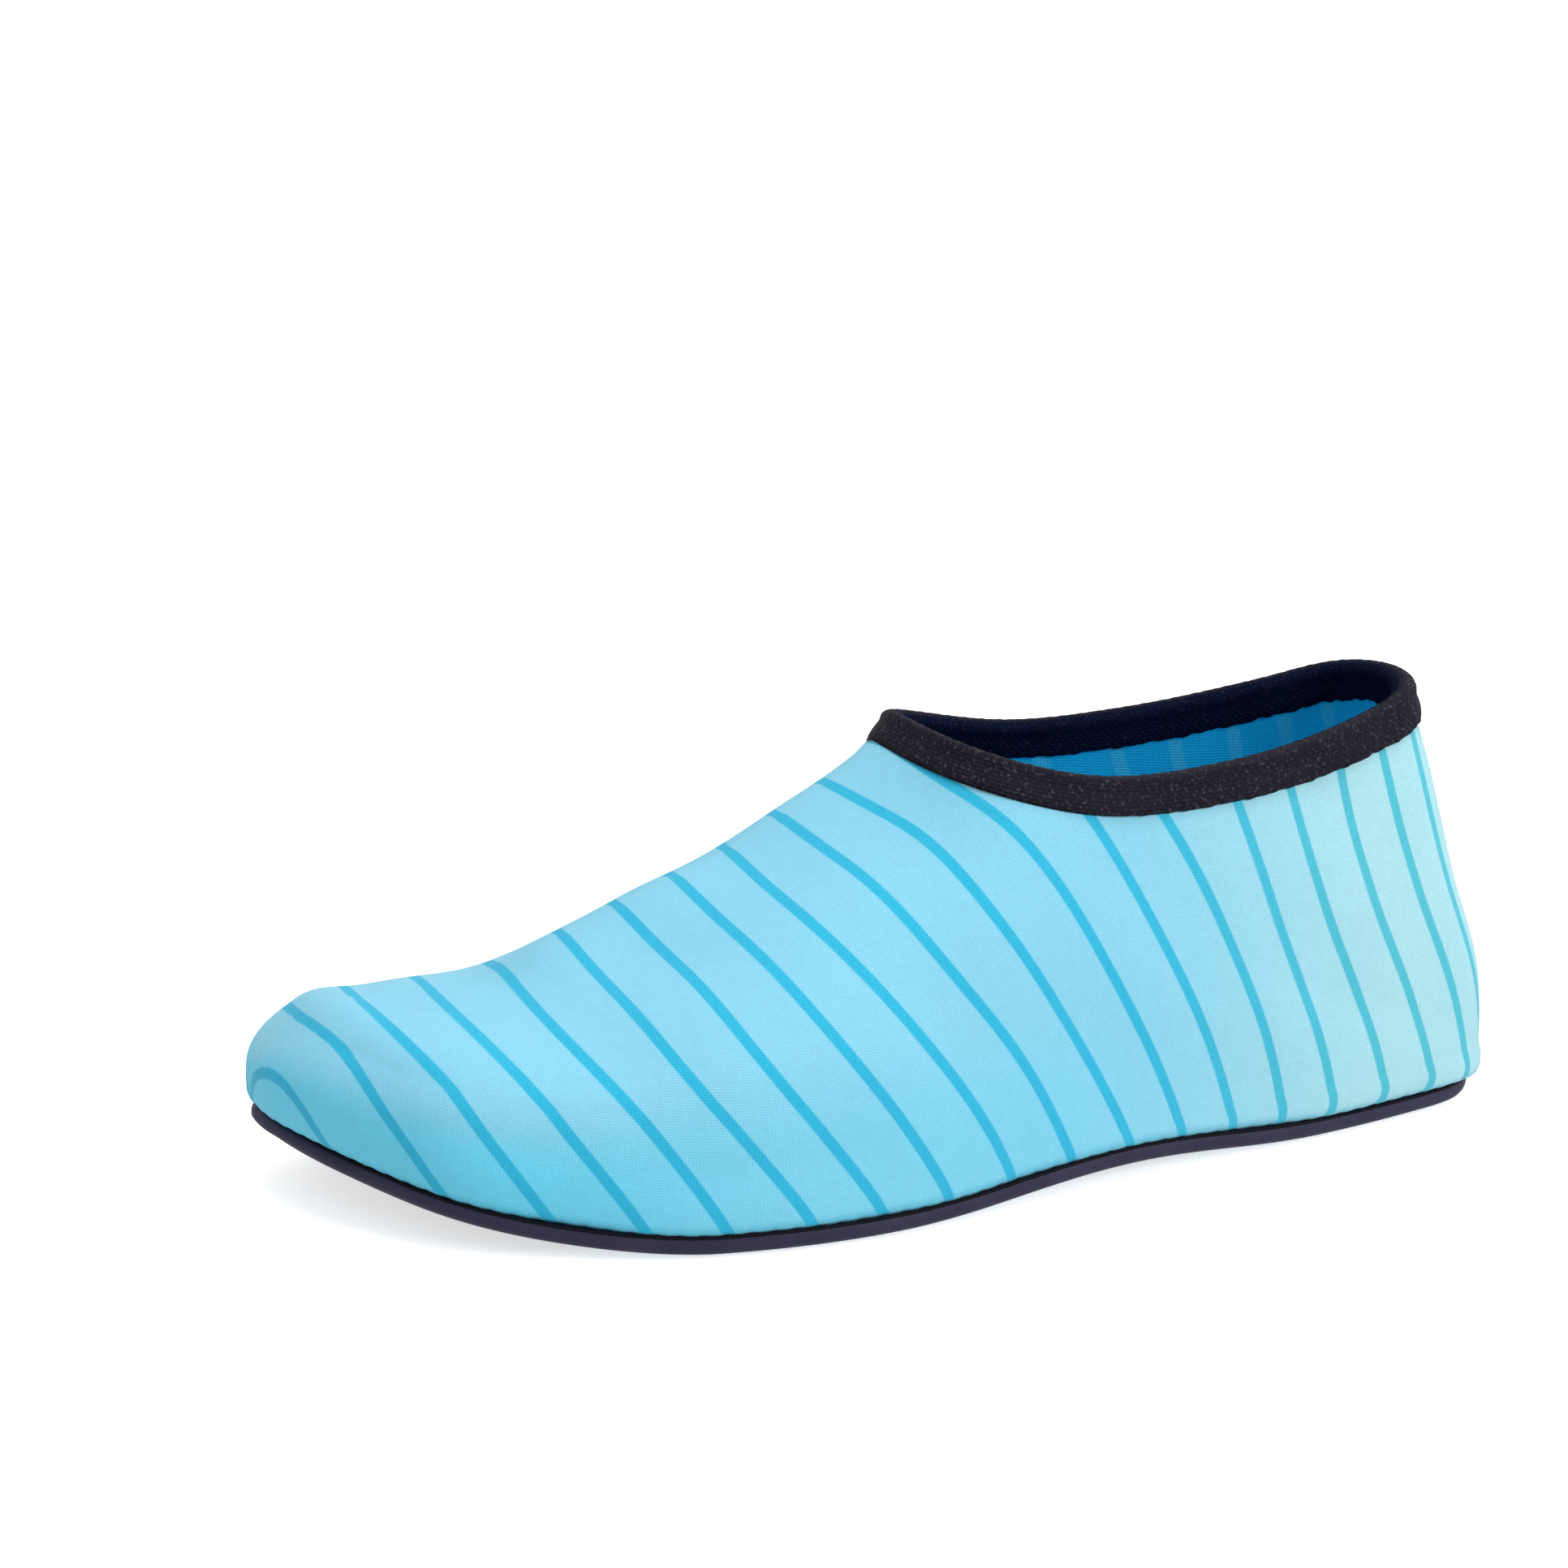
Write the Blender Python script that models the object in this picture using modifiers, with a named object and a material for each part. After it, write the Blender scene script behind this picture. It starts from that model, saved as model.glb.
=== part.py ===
"""Slip-on water shoe for the left foot: a fabric upper, a binding folded over its collar,
an outsole under it and an insole inside. Metres, +X to the toe, +Y to the outer side, +Z up."""

from collections import namedtuple

import bmesh
import bpy
import numpy as np

# Driving sizes of the shoe.
LENGTH = 0.245  # heel to toe along the seam
BALL_WIDTH = 0.0888  # widest part of the seam outline
INSTEP_HEIGHT = 0.0855  # floor to the ridge at the front of the collar
HEEL_HEIGHT = 0.0860  # floor to the collar at the back
THROAT_LENGTH = 0.1228  # heel to the front of the collar

# Sizes of the separate pieces.
UPPER_WALL = 0.0020
BINDING_WIDTH = 0.0064  # how far each leg of the folded tape reaches down from the edge
BINDING_THICKNESS = 0.0010
BINDING_CROWN = 0.0003  # extra height of the fold over the middle of the edge
SOLE_THICKNESS = 0.0038
SOLE_EDGE_RADIUS = 0.0016
INSOLE_THICKNESS = 0.0020
INSOLE_BEVEL = 0.0006
INSOLE_MARGIN = 0.0008  # between the insole's edge and the foot of the wall
CLEARANCE = 0.0003  # between pieces that touch

# The sole's line from the side.
ARCH_RISE = 0.0025
TOE_SPRING = 0.0120
HEEL_KICK = 0.0004
HEEL_FLAT_START = 0.08  # shares of LENGTH
HEEL_FLAT_END = 0.18
BALL_FLAT_START = 0.58
BALL_FLAT_END = 0.73
ARCH_POWER = 2.0
SPRING_POWER = 1.7
KICK_POWER = 1.5

# Roundness of the upper across the foot.
SIDE_POWER = 0.75
CROWN_POWER = 0.95
SIDE_BULGE = 0.0021  # how far the sides swell past the seam
BULGE_FULL_WIDTH = 0.0200  # half width from which the sides swell in full
TOE_BULGE = 0.0034  # how far the toe swells past the seam
TOE_BULGE_HEIGHT = 0.0200  # height over the seam at which that swelling ends
TOE_BULGE_POWER = 8  # how fast it fades towards the heel
LEAN_POWER = 3  # how fast the curve of the heel's back fades towards the toe

# How finely the surfaces are divided.
COLLAR_COLUMNS = 28
VAMP_COLUMNS = 16
SIDE_ROWS = 9
BAND_ROWS = 2
ROW_SPACING_POWER = 1.4
EDGE_STEPS = 3
FINE_SAMPLES = 400
MERGE_DISTANCE = 1e-6

# A row for each section across the foot. at: share of LENGTH from the heel. half and centre:
# half width and middle of the seam outline, ridge: the crown's place beside that middle, all three
# shares of BALL_WIDTH. heel and instep: the crown's rise over the seam, in shares of HEEL_HEIGHT and
# INSTEP_HEIGHT less the sole. Behind the throat the crown is open, and only the walls are made.
Section = namedtuple("Section", "at half centre ridge heel instep")
SECTIONS = (
    Section(0.000, 0.000, 0.000, 0.000, 1.37, 0.000),
    Section(0.030, 0.186, 0.005, 0.000, 1.38, 0.000),
    Section(0.100, 0.248, 0.014, 0.000, 1.38, 0.000),
    Section(0.220, 0.305, 0.025, 0.000, 1.36, 0.000),
    Section(0.340, 0.345, 0.035, -0.003, 0.60, 0.633),
    Section(0.460, 0.408, 0.042, -0.024, 0.00, 1.090),
    Section(0.530, 0.450, 0.043, -0.034, 0.00, 0.886),
    Section(0.600, 0.488, 0.038, -0.043, 0.00, 0.748),
    Section(0.720, 0.500, 0.012, -0.056, 0.00, 0.565),
    Section(0.820, 0.456, -0.028, -0.057, 0.00, 0.425),
    Section(0.910, 0.380, -0.100, -0.036, 0.00, 0.345),
    Section(0.965, 0.240, -0.180, -0.015, 0.00, 0.285),
    Section(1.000, 0.000, -0.263, 0.000, 0.00, 0.012),
)

# The collar's edge from the side. at: share of THROAT_LENGTH from the heel. height: share of HEEL_HEIGHT.
# At the throat itself the edge meets the ridge.
CollarKnot = namedtuple("CollarKnot", "at height")
COLLAR = (
    CollarKnot(0.00, 1.000),
    CollarKnot(0.25, 0.930),
    CollarKnot(0.50, 0.888),
    CollarKnot(0.75, 0.889),
)
BAND_SHIFT_POWER = 5  # how quickly the band turns from running down to running forward

# The curve of the heel's back, both columns in shares of HEEL_HEIGHT: how far forward it lies at a height.
HeelKnot = namedtuple("HeelKnot", "height forward")
HEEL_BACK = (
    HeelKnot(0.00, 0.100),
    HeelKnot(0.05, 0.012),
    HeelKnot(0.08, -0.020),
    HeelKnot(0.13, -0.023),
    HeelKnot(0.25, -0.016),
    HeelKnot(0.55, 0.070),
    HeelKnot(1.00, 0.206),
    HeelKnot(1.60, 0.330),
)

LATERAL = 1
MEDIAL = -1


def smooth_through(knots, values, wanted):
    """A smooth curve through the knots, with tangents from each knot's neighbours."""
    knots = np.asarray(knots, float)
    values = np.asarray(values, float)
    span = np.diff(knots)
    slope = np.diff(values) / span
    tangent = np.empty(len(knots))
    tangent[1:-1] = (slope[:-1] * span[1:] + slope[1:] * span[:-1]) / (span[:-1] + span[1:])
    tangent[0] = 1.5 * slope[0] - 0.5 * tangent[1]
    tangent[-1] = 1.5 * slope[-1] - 0.5 * tangent[-2]
    cell = np.clip(np.searchsorted(knots, wanted, side="right") - 1, 0, len(knots) - 2)
    t = (wanted - knots[cell]) / span[cell]
    start = (2 * t**3 - 3 * t**2 + 1) * values[cell] + (t**3 - 2 * t**2 + t) * span[cell] * tangent[cell]
    end = (3 * t**2 - 2 * t**3) * values[cell + 1] + (t**3 - t**2) * span[cell] * tangent[cell + 1]
    return start + end


def round_share(share):
    """A share of the length as an angle share, so that heel and toe round off by themselves."""
    return np.arccos(np.clip(1 - 2 * np.asarray(share, float), -1, 1)) / np.pi


def along(column, x):
    knots = round_share([row.at for row in SECTIONS])
    values = [getattr(row, column) for row in SECTIONS]
    return smooth_through(knots, values, round_share(np.asarray(x, float) / LENGTH))


def bottom_height(x):
    """Underside of the outsole: flat at heel and ball, raised at the arch, toe and heel edge."""
    at = np.asarray(x, float) / LENGTH
    arch = np.clip((at - HEEL_FLAT_END) / (BALL_FLAT_START - HEEL_FLAT_END), 0, 1)
    toe = np.clip((at - BALL_FLAT_END) / (1 - BALL_FLAT_END), 0, 1)
    heel = np.clip((HEEL_FLAT_START - at) / HEEL_FLAT_START, 0, 1)
    return (
        ARCH_RISE * np.sin(np.pi * arch) ** ARCH_POWER
        + TOE_SPRING * toe**SPRING_POWER
        + HEEL_KICK * heel**KICK_POWER
    )


def seam_height(x):
    return bottom_height(x) + SOLE_THICKNESS + CLEARANCE


def crown_rise(x):
    heel = along("heel", x) * (HEEL_HEIGHT - SOLE_THICKNESS)
    return heel + along("instep", x) * (INSTEP_HEIGHT - SOLE_THICKNESS)


def heel_curve(x, z):
    """How far forward the curve of the heel's back moves a point."""
    height = np.clip(z / HEEL_HEIGHT, 0, HEEL_BACK[-1].height)
    knots = [row.height for row in HEEL_BACK]
    forward = smooth_through(knots, [row.forward for row in HEEL_BACK], height)
    return forward * HEEL_HEIGHT * (1 - x / LENGTH) ** LEAN_POWER


def toe_curve(x, rise):
    """How far the toe swells forward at a height over the seam."""
    swell = np.sin(np.pi * np.clip(rise / TOE_BULGE_HEIGHT, 0, 1))
    return TOE_BULGE * swell * (x / LENGTH) ** TOE_BULGE_POWER


def last_point(x, angle, side):
    """A point of the upper's outside: angle 0 at the seam, a right angle at the crown."""
    x = np.asarray(x, float)
    angle = np.asarray(angle, float)
    half = np.maximum(along("half", x), 0) * BALL_WIDTH
    middle = along("centre", x) * BALL_WIDTH
    ridge = along("ridge", x) * BALL_WIDTH
    outward = np.cos(angle) ** SIDE_POWER
    swell = SIDE_BULGE * np.sin(2 * angle) * np.minimum(1, half / BULGE_FULL_WIDTH)
    y = middle + ridge + (side * half - ridge) * outward + side * swell
    rise = crown_rise(x) * np.sin(angle) ** CROWN_POWER
    z = seam_height(x) + rise
    return np.stack([x + heel_curve(x, z) + toe_curve(x, rise), y, z], axis=-1)


def angle_at_height(x, z):
    share = np.clip((z - seam_height(x)) / crown_rise(x), 0, 1)
    return np.arcsin(share ** (1 / CROWN_POWER))


def collar_line(share, lower):
    """Place along the foot and angle of a line that runs below the collar's edge by about lower."""
    knots = [row.at for row in COLLAR] + [1.0]
    throat = THROAT_LENGTH + lower
    heights = [row.height * HEEL_HEIGHT - lower for row in COLLAR]
    heights.append(float(seam_height(throat) + crown_rise(throat)))
    x = share * THROAT_LENGTH + lower * share**BAND_SHIFT_POWER
    angle = np.where(share >= 1, np.pi / 2, angle_at_height(x, smooth_through(knots, heights, share)))
    return x, angle


def evenly_along(points, places, count):
    """Places that divide the line through the points into steps of equal length."""
    steps = np.linalg.norm(np.diff(points, axis=0), axis=1)
    walked = np.concatenate([[0], np.cumsum(steps)])
    return np.interp(np.linspace(0, walked[-1], count), walked, places)


def collar_shares(count):
    """Shares along the collar that space its columns evenly on the outer side's edge."""
    fine = (1 - np.cos(np.linspace(0, np.pi, FINE_SAMPLES))) / 2
    return evenly_along(last_point(*collar_line(fine, 0.0), LATERAL), fine, count)


def evenly_spaced(start, end, angle, count):
    """Places from start to end along the foot, evenly spaced on the outer side at one angle."""
    turn = np.linspace(round_share(start / LENGTH), round_share(end / LENGTH), FINE_SAMPLES)
    fine = LENGTH * (1 - np.cos(np.pi * turn)) / 2
    return evenly_along(last_point(fine, np.full(len(fine), angle), LATERAL), fine, count)


def band_lines(shares, depths, side):
    """Lines that lie a true distance below the collar's edge: their places and angles."""
    trial = np.linspace(0, 2 * max(depths), FINE_SAMPLES // 10)
    lines = [collar_line(shares, lower) for lower in trial]
    points = np.array([last_point(x, angle, side) for x, angle in lines])
    steps = np.linalg.norm(np.diff(points, axis=0), axis=2)
    walked = np.concatenate([np.zeros((1, len(shares))), np.cumsum(steps, axis=0)])
    found = []
    for depth in depths:
        lower = np.array([np.interp(depth, walked[:, i], trial) for i in range(len(shares))])
        pairs = [collar_line(np.array([share]), each) for share, each in zip(shares, lower)]
        x = np.array([pair[0][0] for pair in pairs])
        angle = np.array([pair[1][0] for pair in pairs])
        found.append((x, angle))
    return found


def seam_places():
    return evenly_spaced(0.0, LENGTH, 0.0, COLLAR_COLUMNS + VAMP_COLUMNS)


def columns_of(side):
    """The upper's outside on one side, as rows from the seam up and columns from heel to toe.
    The rows beside the collar end at the throat, so they have no points over the vamp."""
    depths = np.linspace(BINDING_WIDTH, 0, BAND_ROWS + 1)
    band = band_lines(collar_shares(COLLAR_COLUMNS), depths, side)
    foot_x, foot_angle = band[0]
    ridge_x = evenly_spaced(foot_x[-1], LENGTH, np.pi / 2, VAMP_COLUMNS + 1)[1:]
    seam_x = seam_places()
    top_x = np.concatenate([foot_x, ridge_x])
    top_angle = np.concatenate([foot_angle, np.full(VAMP_COLUMNS, np.pi / 2)])
    rows = []
    for k in range(SIDE_ROWS + 1):
        share = (k / SIDE_ROWS) ** ROW_SPACING_POWER
        rows.append(last_point(seam_x + (top_x - seam_x) * share, top_angle * share, side))
    missing = np.full((VAMP_COLUMNS, 3), np.nan)
    for x, angle in band[1:]:
        rows.append(np.concatenate([last_point(x, angle, side), missing]))
    return np.array(rows)


def around(lateral, medial):
    """Two sides, heel to toe, joined into one closed loop that shares both ends."""
    return np.concatenate([lateral, medial[:, -2:0:-1]], axis=1)


def mesh_object(name, material, rings, closed_section, caps=()):
    """A mesh from a grid of rings, with strips across the rings in caps. A cell with a missing corner is open."""
    mesh = bpy.data.meshes.new(name)
    obj = bpy.data.objects.new(name, mesh)
    shoe.objects.link(obj)
    mesh.materials.append(material)
    work = bmesh.new()
    grid = [[None if np.isnan(point[0]) else work.verts.new(point) for point in ring] for ring in rings]
    count = len(grid[0])
    rows = len(grid) if closed_section else len(grid) - 1
    for row in range(rows):
        low = grid[row]
        high = grid[(row + 1) % len(grid)]
        for column in range(count):
            after = (column + 1) % count
            corners = (low[column], low[after], high[after], high[column])
            if None not in corners:
                work.faces.new(corners)
    half = count // 2
    for row in caps:
        ring = grid[row]
        for column in range(half):
            corners = (ring[column], ring[column + 1], ring[-column - 1], ring[-column % count])
            if column == 0:
                corners = corners[:3]
            elif column == half - 1:
                corners = (corners[0], corners[1], corners[3])
            work.faces.new(corners)
    bmesh.ops.remove_doubles(work, verts=work.verts, dist=MERGE_DISTANCE)
    bmesh.ops.dissolve_degenerate(work, edges=work.edges, dist=MERGE_DISTANCE)
    bmesh.ops.recalc_face_normals(work, faces=work.faces)
    work.to_mesh(mesh)
    work.free()
    mesh.shade_smooth()
    return obj


def plain_material(name, color, roughness):
    material = bpy.data.materials.new(name)
    material.use_nodes = True
    shader = material.node_tree.nodes["Principled BSDF"]
    shader.inputs["Base Color"].default_value = (*color, 1.0)
    shader.inputs["Roughness"].default_value = roughness
    return material


def face_outward(obj):
    """Turns an open shell so that its faces point away from the middle of the foot."""
    work = bmesh.new()
    work.from_mesh(obj.data)
    widest = max(work.faces, key=lambda face: face.calc_center_median().y)
    if widest.normal.y < 0:
        bmesh.ops.reverse_faces(work, faces=work.faces)
    work.to_mesh(obj.data)
    work.free()


def add_upper(material):
    upper = mesh_object("upper", material, around(columns_of(LATERAL), columns_of(MEDIAL)), False)
    face_outward(upper)
    wall = upper.modifiers.new("wall", "SOLIDIFY")
    wall.thickness = UPPER_WALL
    wall.offset = -1
    wall.use_even_offset = True


def loop_normals(rows):
    """Outward normals of a closed band of rows, worked out from its neighbours in both directions."""
    ahead = np.roll(rows, -1, axis=1) - np.roll(rows, 1, axis=1)
    down = np.gradient(rows, axis=0)
    normals = np.cross(ahead, down)
    normals /= np.linalg.norm(normals, axis=2, keepdims=True)
    return normals


def add_binding(material):
    """Tape folded over the collar's edge: a section of constant thickness carried round the loop."""
    shares = collar_shares(COLLAR_COLUMNS)
    depths = np.linspace(0, BINDING_WIDTH, BAND_ROWS + 1)
    sides = []
    for side in (LATERAL, MEDIAL):
        sides.append(np.array([last_point(x, angle, side) for x, angle in band_lines(shares, depths, side)]))
    rows = around(*sides)
    normals = loop_normals(rows)
    if normals[0, COLLAR_COLUMNS // 2, 1] < 0:
        normals = -normals
    up = rows[0] - rows[1]
    up /= np.linalg.norm(up, axis=1, keepdims=True)
    inner_face = CLEARANCE
    outer_face = CLEARANCE + BINDING_THICKNESS
    outside = [rows[k] + normals[k] * outer_face for k in range(BAND_ROWS, -1, -1)]
    fold = []
    middle = -UPPER_WALL / 2
    reach = UPPER_WALL / 2 + outer_face
    height = outer_face + BINDING_CROWN
    for step in range(1, EDGE_STEPS + 1):
        turn = np.pi * step / (EDGE_STEPS + 1)
        fold.append(rows[0] + normals[0] * (middle + reach * np.cos(turn)) + up * height * np.sin(turn))
    inside = [rows[k] - normals[k] * (UPPER_WALL + outer_face) for k in range(BAND_ROWS + 1)]
    back = [rows[k] - normals[k] * (UPPER_WALL + inner_face) for k in range(BAND_ROWS, 0, -1)]
    roof = [
        rows[0] - normals[0] * (UPPER_WALL + inner_face) + up * CLEARANCE,
        rows[0] + normals[0] * inner_face + up * CLEARANCE,
    ]
    front = [rows[k] + normals[k] * inner_face for k in range(1, BAND_ROWS + 1)]
    mesh_object("collar_binding", material, outside + fold + inside + back + roof + front, True)


def sole_outline():
    """The seam's outline in plan, as one closed loop from the heel round by the outer side."""
    x = seam_places()
    sides = [last_point(x, np.zeros(len(x)), side)[None, :, :2] for side in (LATERAL, MEDIAL)]
    return around(*sides)[0]


def inset(outline, distance):
    """The outline moved inwards by a distance, at right angles to itself."""
    ahead = np.roll(outline, -1, axis=0) - np.roll(outline, 1, axis=0)
    inward = np.stack([ahead[:, 1], -ahead[:, 0]], axis=1)
    inward /= np.linalg.norm(inward, axis=1, keepdims=True)
    if np.dot(inward[0], outline.mean(axis=0) - outline[0]) < 0:
        inward = -inward
    return outline + inward * distance


def ring_at(outline, distance, height):
    """The outline's inset loop, a height above the underside of the outsole."""
    flat = inset(outline, distance)
    return np.column_stack([flat, bottom_height(flat[:, 0]) + height])


def add_outsole(material):
    outline = sole_outline()
    rings = [ring_at(outline, 0.0, SOLE_THICKNESS)]
    for step in range(EDGE_STEPS + 1):
        turn = np.pi / 2 * step / EDGE_STEPS
        distance = SOLE_EDGE_RADIUS * (1 - np.cos(turn))
        rings.append(ring_at(outline, distance, SOLE_EDGE_RADIUS * (1 - np.sin(turn))))
    mesh_object("outsole", material, rings, False, caps=(0, len(rings) - 1))


def add_insole(material):
    outline = sole_outline()
    low = SOLE_THICKNESS + CLEARANCE
    edge = UPPER_WALL + INSOLE_MARGIN
    rings = [
        ring_at(outline, edge, low),
        ring_at(outline, edge, low + INSOLE_THICKNESS - INSOLE_BEVEL),
        ring_at(outline, edge + INSOLE_BEVEL, low + INSOLE_THICKNESS),
    ]
    mesh_object("insole", material, rings, False, caps=(0, len(rings) - 1))


def stand_on_origin():
    """Moves the shoe so that the middle of its box lies over the origin and its sole on the floor."""
    bpy.context.view_layer.update()
    graph = bpy.context.evaluated_depsgraph_get()
    corners = []
    for obj in shoe.objects:
        mesh = obj.evaluated_get(graph).to_mesh()
        corners.extend(vertex.co.copy() for vertex in mesh.vertices)
    corners = np.array(corners)
    middle = (corners.min(axis=0) + corners.max(axis=0)) / 2
    for obj in shoe.objects:
        obj.location = (-middle[0], -middle[1], -corners[:, 2].min())


for old in list(bpy.data.objects):
    bpy.data.objects.remove(old, do_unlink=True)
shoe = bpy.data.collections.new("water_shoe")
bpy.context.scene.collection.children.link(shoe)
add_upper(plain_material("aqua_knit", (0.30, 0.72, 0.90), 0.8))
add_binding(plain_material("black_tape", (0.012, 0.011, 0.018), 0.7))
add_outsole(plain_material("dark_sole", (0.02, 0.02, 0.03), 0.6))
add_insole(plain_material("blue_lining", (0.01, 0.21, 0.41), 0.85))
stand_on_origin()
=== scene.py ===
import math
from collections import namedtuple

import bmesh
import bpy
import numpy as np
from mathutils import Matrix, Vector


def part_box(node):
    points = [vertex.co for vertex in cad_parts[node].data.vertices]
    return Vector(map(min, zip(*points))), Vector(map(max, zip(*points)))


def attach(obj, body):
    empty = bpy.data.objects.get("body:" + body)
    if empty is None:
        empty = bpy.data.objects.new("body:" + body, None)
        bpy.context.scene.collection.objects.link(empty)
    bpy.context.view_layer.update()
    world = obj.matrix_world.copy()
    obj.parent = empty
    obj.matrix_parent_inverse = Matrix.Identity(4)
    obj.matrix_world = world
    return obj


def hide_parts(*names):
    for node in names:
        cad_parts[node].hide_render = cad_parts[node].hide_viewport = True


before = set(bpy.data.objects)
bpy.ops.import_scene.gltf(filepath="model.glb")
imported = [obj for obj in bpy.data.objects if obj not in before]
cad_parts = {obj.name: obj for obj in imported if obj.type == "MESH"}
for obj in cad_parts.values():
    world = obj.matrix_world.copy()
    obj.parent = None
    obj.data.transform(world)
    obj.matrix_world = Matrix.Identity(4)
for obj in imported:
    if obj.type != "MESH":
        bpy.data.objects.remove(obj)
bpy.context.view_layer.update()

# Driving sizes of the shoe, in metres, as in the solids.
LENGTH = 0.245
BALL_WIDTH = 0.0888
INSTEP_HEIGHT = 0.0855
HEEL_HEIGHT = 0.0860
THROAT_LENGTH = 0.1228

UPPER_WALL = 0.0020
BINDING_WIDTH = 0.0064
SOLE_THICKNESS = 0.0038
INSOLE_THICKNESS = 0.0020
INSOLE_MARGIN = 0.0008
CLEARANCE = 0.0003

# The sole's line from the side.
ARCH_RISE = 0.0025
TOE_SPRING = 0.0120
HEEL_KICK = 0.0004
HEEL_FLAT_START = 0.08
HEEL_FLAT_END = 0.18
BALL_FLAT_START = 0.58
BALL_FLAT_END = 0.73
ARCH_POWER = 2.0
SPRING_POWER = 1.7
KICK_POWER = 1.5

# Roundness of the upper across the foot.
SIDE_POWER = 0.75
CROWN_POWER = 0.95
SIDE_BULGE = 0.0021
BULGE_FULL_WIDTH = 0.0200
TOE_BULGE = 0.0034
TOE_BULGE_HEIGHT = 0.0200
TOE_BULGE_POWER = 8
LEAN_POWER = 3

# How finely the cloth is divided.
COLLAR_COLUMNS = 116
VAMP_COLUMNS = 92
SIDE_ROWS = 66
BAND_ROWS = 8
ROW_SPACING_POWER = 1.15
FINE_SAMPLES = 600
TRIAL_LINES = 40
MERGE_DIGITS = 7

# A row for each section across the foot: half width, middle and crown of the last, then the crown's rise.
Section = namedtuple("Section", "at half centre ridge heel instep")
SECTIONS = (
    Section(0.000, 0.000, 0.000, 0.000, 1.37, 0.000),
    Section(0.030, 0.186, 0.005, 0.000, 1.38, 0.000),
    Section(0.100, 0.248, 0.014, 0.000, 1.38, 0.000),
    Section(0.220, 0.305, 0.025, 0.000, 1.36, 0.000),
    Section(0.340, 0.345, 0.035, -0.003, 0.60, 0.633),
    Section(0.460, 0.408, 0.042, -0.024, 0.00, 1.090),
    Section(0.530, 0.450, 0.043, -0.034, 0.00, 0.886),
    Section(0.600, 0.488, 0.038, -0.043, 0.00, 0.748),
    Section(0.720, 0.500, 0.012, -0.056, 0.00, 0.565),
    Section(0.820, 0.456, -0.028, -0.057, 0.00, 0.425),
    Section(0.910, 0.380, -0.100, -0.036, 0.00, 0.345),
    Section(0.965, 0.240, -0.180, -0.015, 0.00, 0.285),
    Section(1.000, 0.000, -0.263, 0.000, 0.00, 0.012),
)

# The collar's edge from the side. at: share of THROAT_LENGTH from the heel. height: share of HEEL_HEIGHT.
CollarKnot = namedtuple("CollarKnot", "at height")
COLLAR = (
    CollarKnot(0.00, 1.000),
    CollarKnot(0.25, 0.930),
    CollarKnot(0.50, 0.888),
    CollarKnot(0.75, 0.889),
)
BAND_SHIFT_POWER = 5

# The curve of the heel's back, both columns in shares of HEEL_HEIGHT.
HeelKnot = namedtuple("HeelKnot", "height forward")
HEEL_BACK = (
    HeelKnot(0.00, 0.100),
    HeelKnot(0.05, 0.012),
    HeelKnot(0.08, -0.020),
    HeelKnot(0.13, -0.023),
    HeelKnot(0.25, -0.016),
    HeelKnot(0.55, 0.070),
    HeelKnot(1.00, 0.206),
    HeelKnot(1.60, 0.330),
)

# The wavy bands of the cloth, counted from the toe, in shares of LENGTH. foot: where a band meets the sole.
# sweep: how far further forward it lies at the crown. bow: how far its middle curves forward. twist: how far
# its lower half curves forward and its upper half back.
Band = namedtuple("Band", "number foot sweep bow twist")
BANDS = (
    Band(-2, 1.140, 0.000, 0.000, 0.000),
    Band(0, 1.028, 0.006, 0.000, 0.000),
    Band(1, 0.972, 0.030, -0.003, 0.000),
    Band(2, 0.913, 0.064, -0.003, 0.000),
    Band(3, 0.847, 0.087, -0.003, 0.000),
    Band(4, 0.782, 0.099, 0.000, 0.001),
    Band(5, 0.724, 0.102, 0.004, 0.001),
    Band(6, 0.660, 0.115, 0.009, 0.005),
    Band(7, 0.603, 0.127, 0.009, 0.006),
    Band(8, 0.546, 0.140, 0.006, 0.004),
    Band(9, 0.489, 0.155, 0.005, 0.002),
    Band(10, 0.434, 0.167, 0.002, 0.005),
    Band(11, 0.379, 0.182, 0.000, 0.009),
    Band(12, 0.329, 0.185, 0.004, -0.001),
    Band(13, 0.279, 0.240, -0.038, 0.000),
    Band(14, 0.231, 0.223, -0.036, -0.005),
    Band(15, 0.182, 0.120, 0.000, 0.004),
    Band(16, 0.128, 0.103, 0.000, 0.014),
    Band(17, 0.077, 0.079, 0.000, 0.022),
    Band(18, 0.036, 0.066, 0.000, 0.016),
    Band(19, 0.010, 0.035, 0.000, 0.014),
    Band(20, -0.060, 0.000, 0.000, 0.000),
)
CROWN_BANDS = 12  # up to this number the bands run on over the crown
BAND_WIDTH = 0.00210
USUAL_PITCH = 0.014
WIDEST_PITCH = 0.030
NARROWEST_PITCH = 0.006

LATERAL = 1
MEDIAL = -1


def smooth_through(knots, values, wanted):
    """A smooth curve through the knots, with tangents from each knot's neighbours."""
    knots = np.asarray(knots, float)
    values = np.asarray(values, float)
    span = np.diff(knots)
    slope = np.diff(values) / span
    tangent = np.empty(len(knots))
    tangent[1:-1] = (slope[:-1] * span[1:] + slope[1:] * span[:-1]) / (span[:-1] + span[1:])
    tangent[0] = 1.5 * slope[0] - 0.5 * tangent[1]
    tangent[-1] = 1.5 * slope[-1] - 0.5 * tangent[-2]
    cell = np.clip(np.searchsorted(knots, wanted, side="right") - 1, 0, len(knots) - 2)
    t = (wanted - knots[cell]) / span[cell]
    start = (2 * t**3 - 3 * t**2 + 1) * values[cell] + (t**3 - 2 * t**2 + t) * span[cell] * tangent[cell]
    end = (3 * t**2 - 2 * t**3) * values[cell + 1] + (t**3 - t**2) * span[cell] * tangent[cell + 1]
    return start + end


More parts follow.
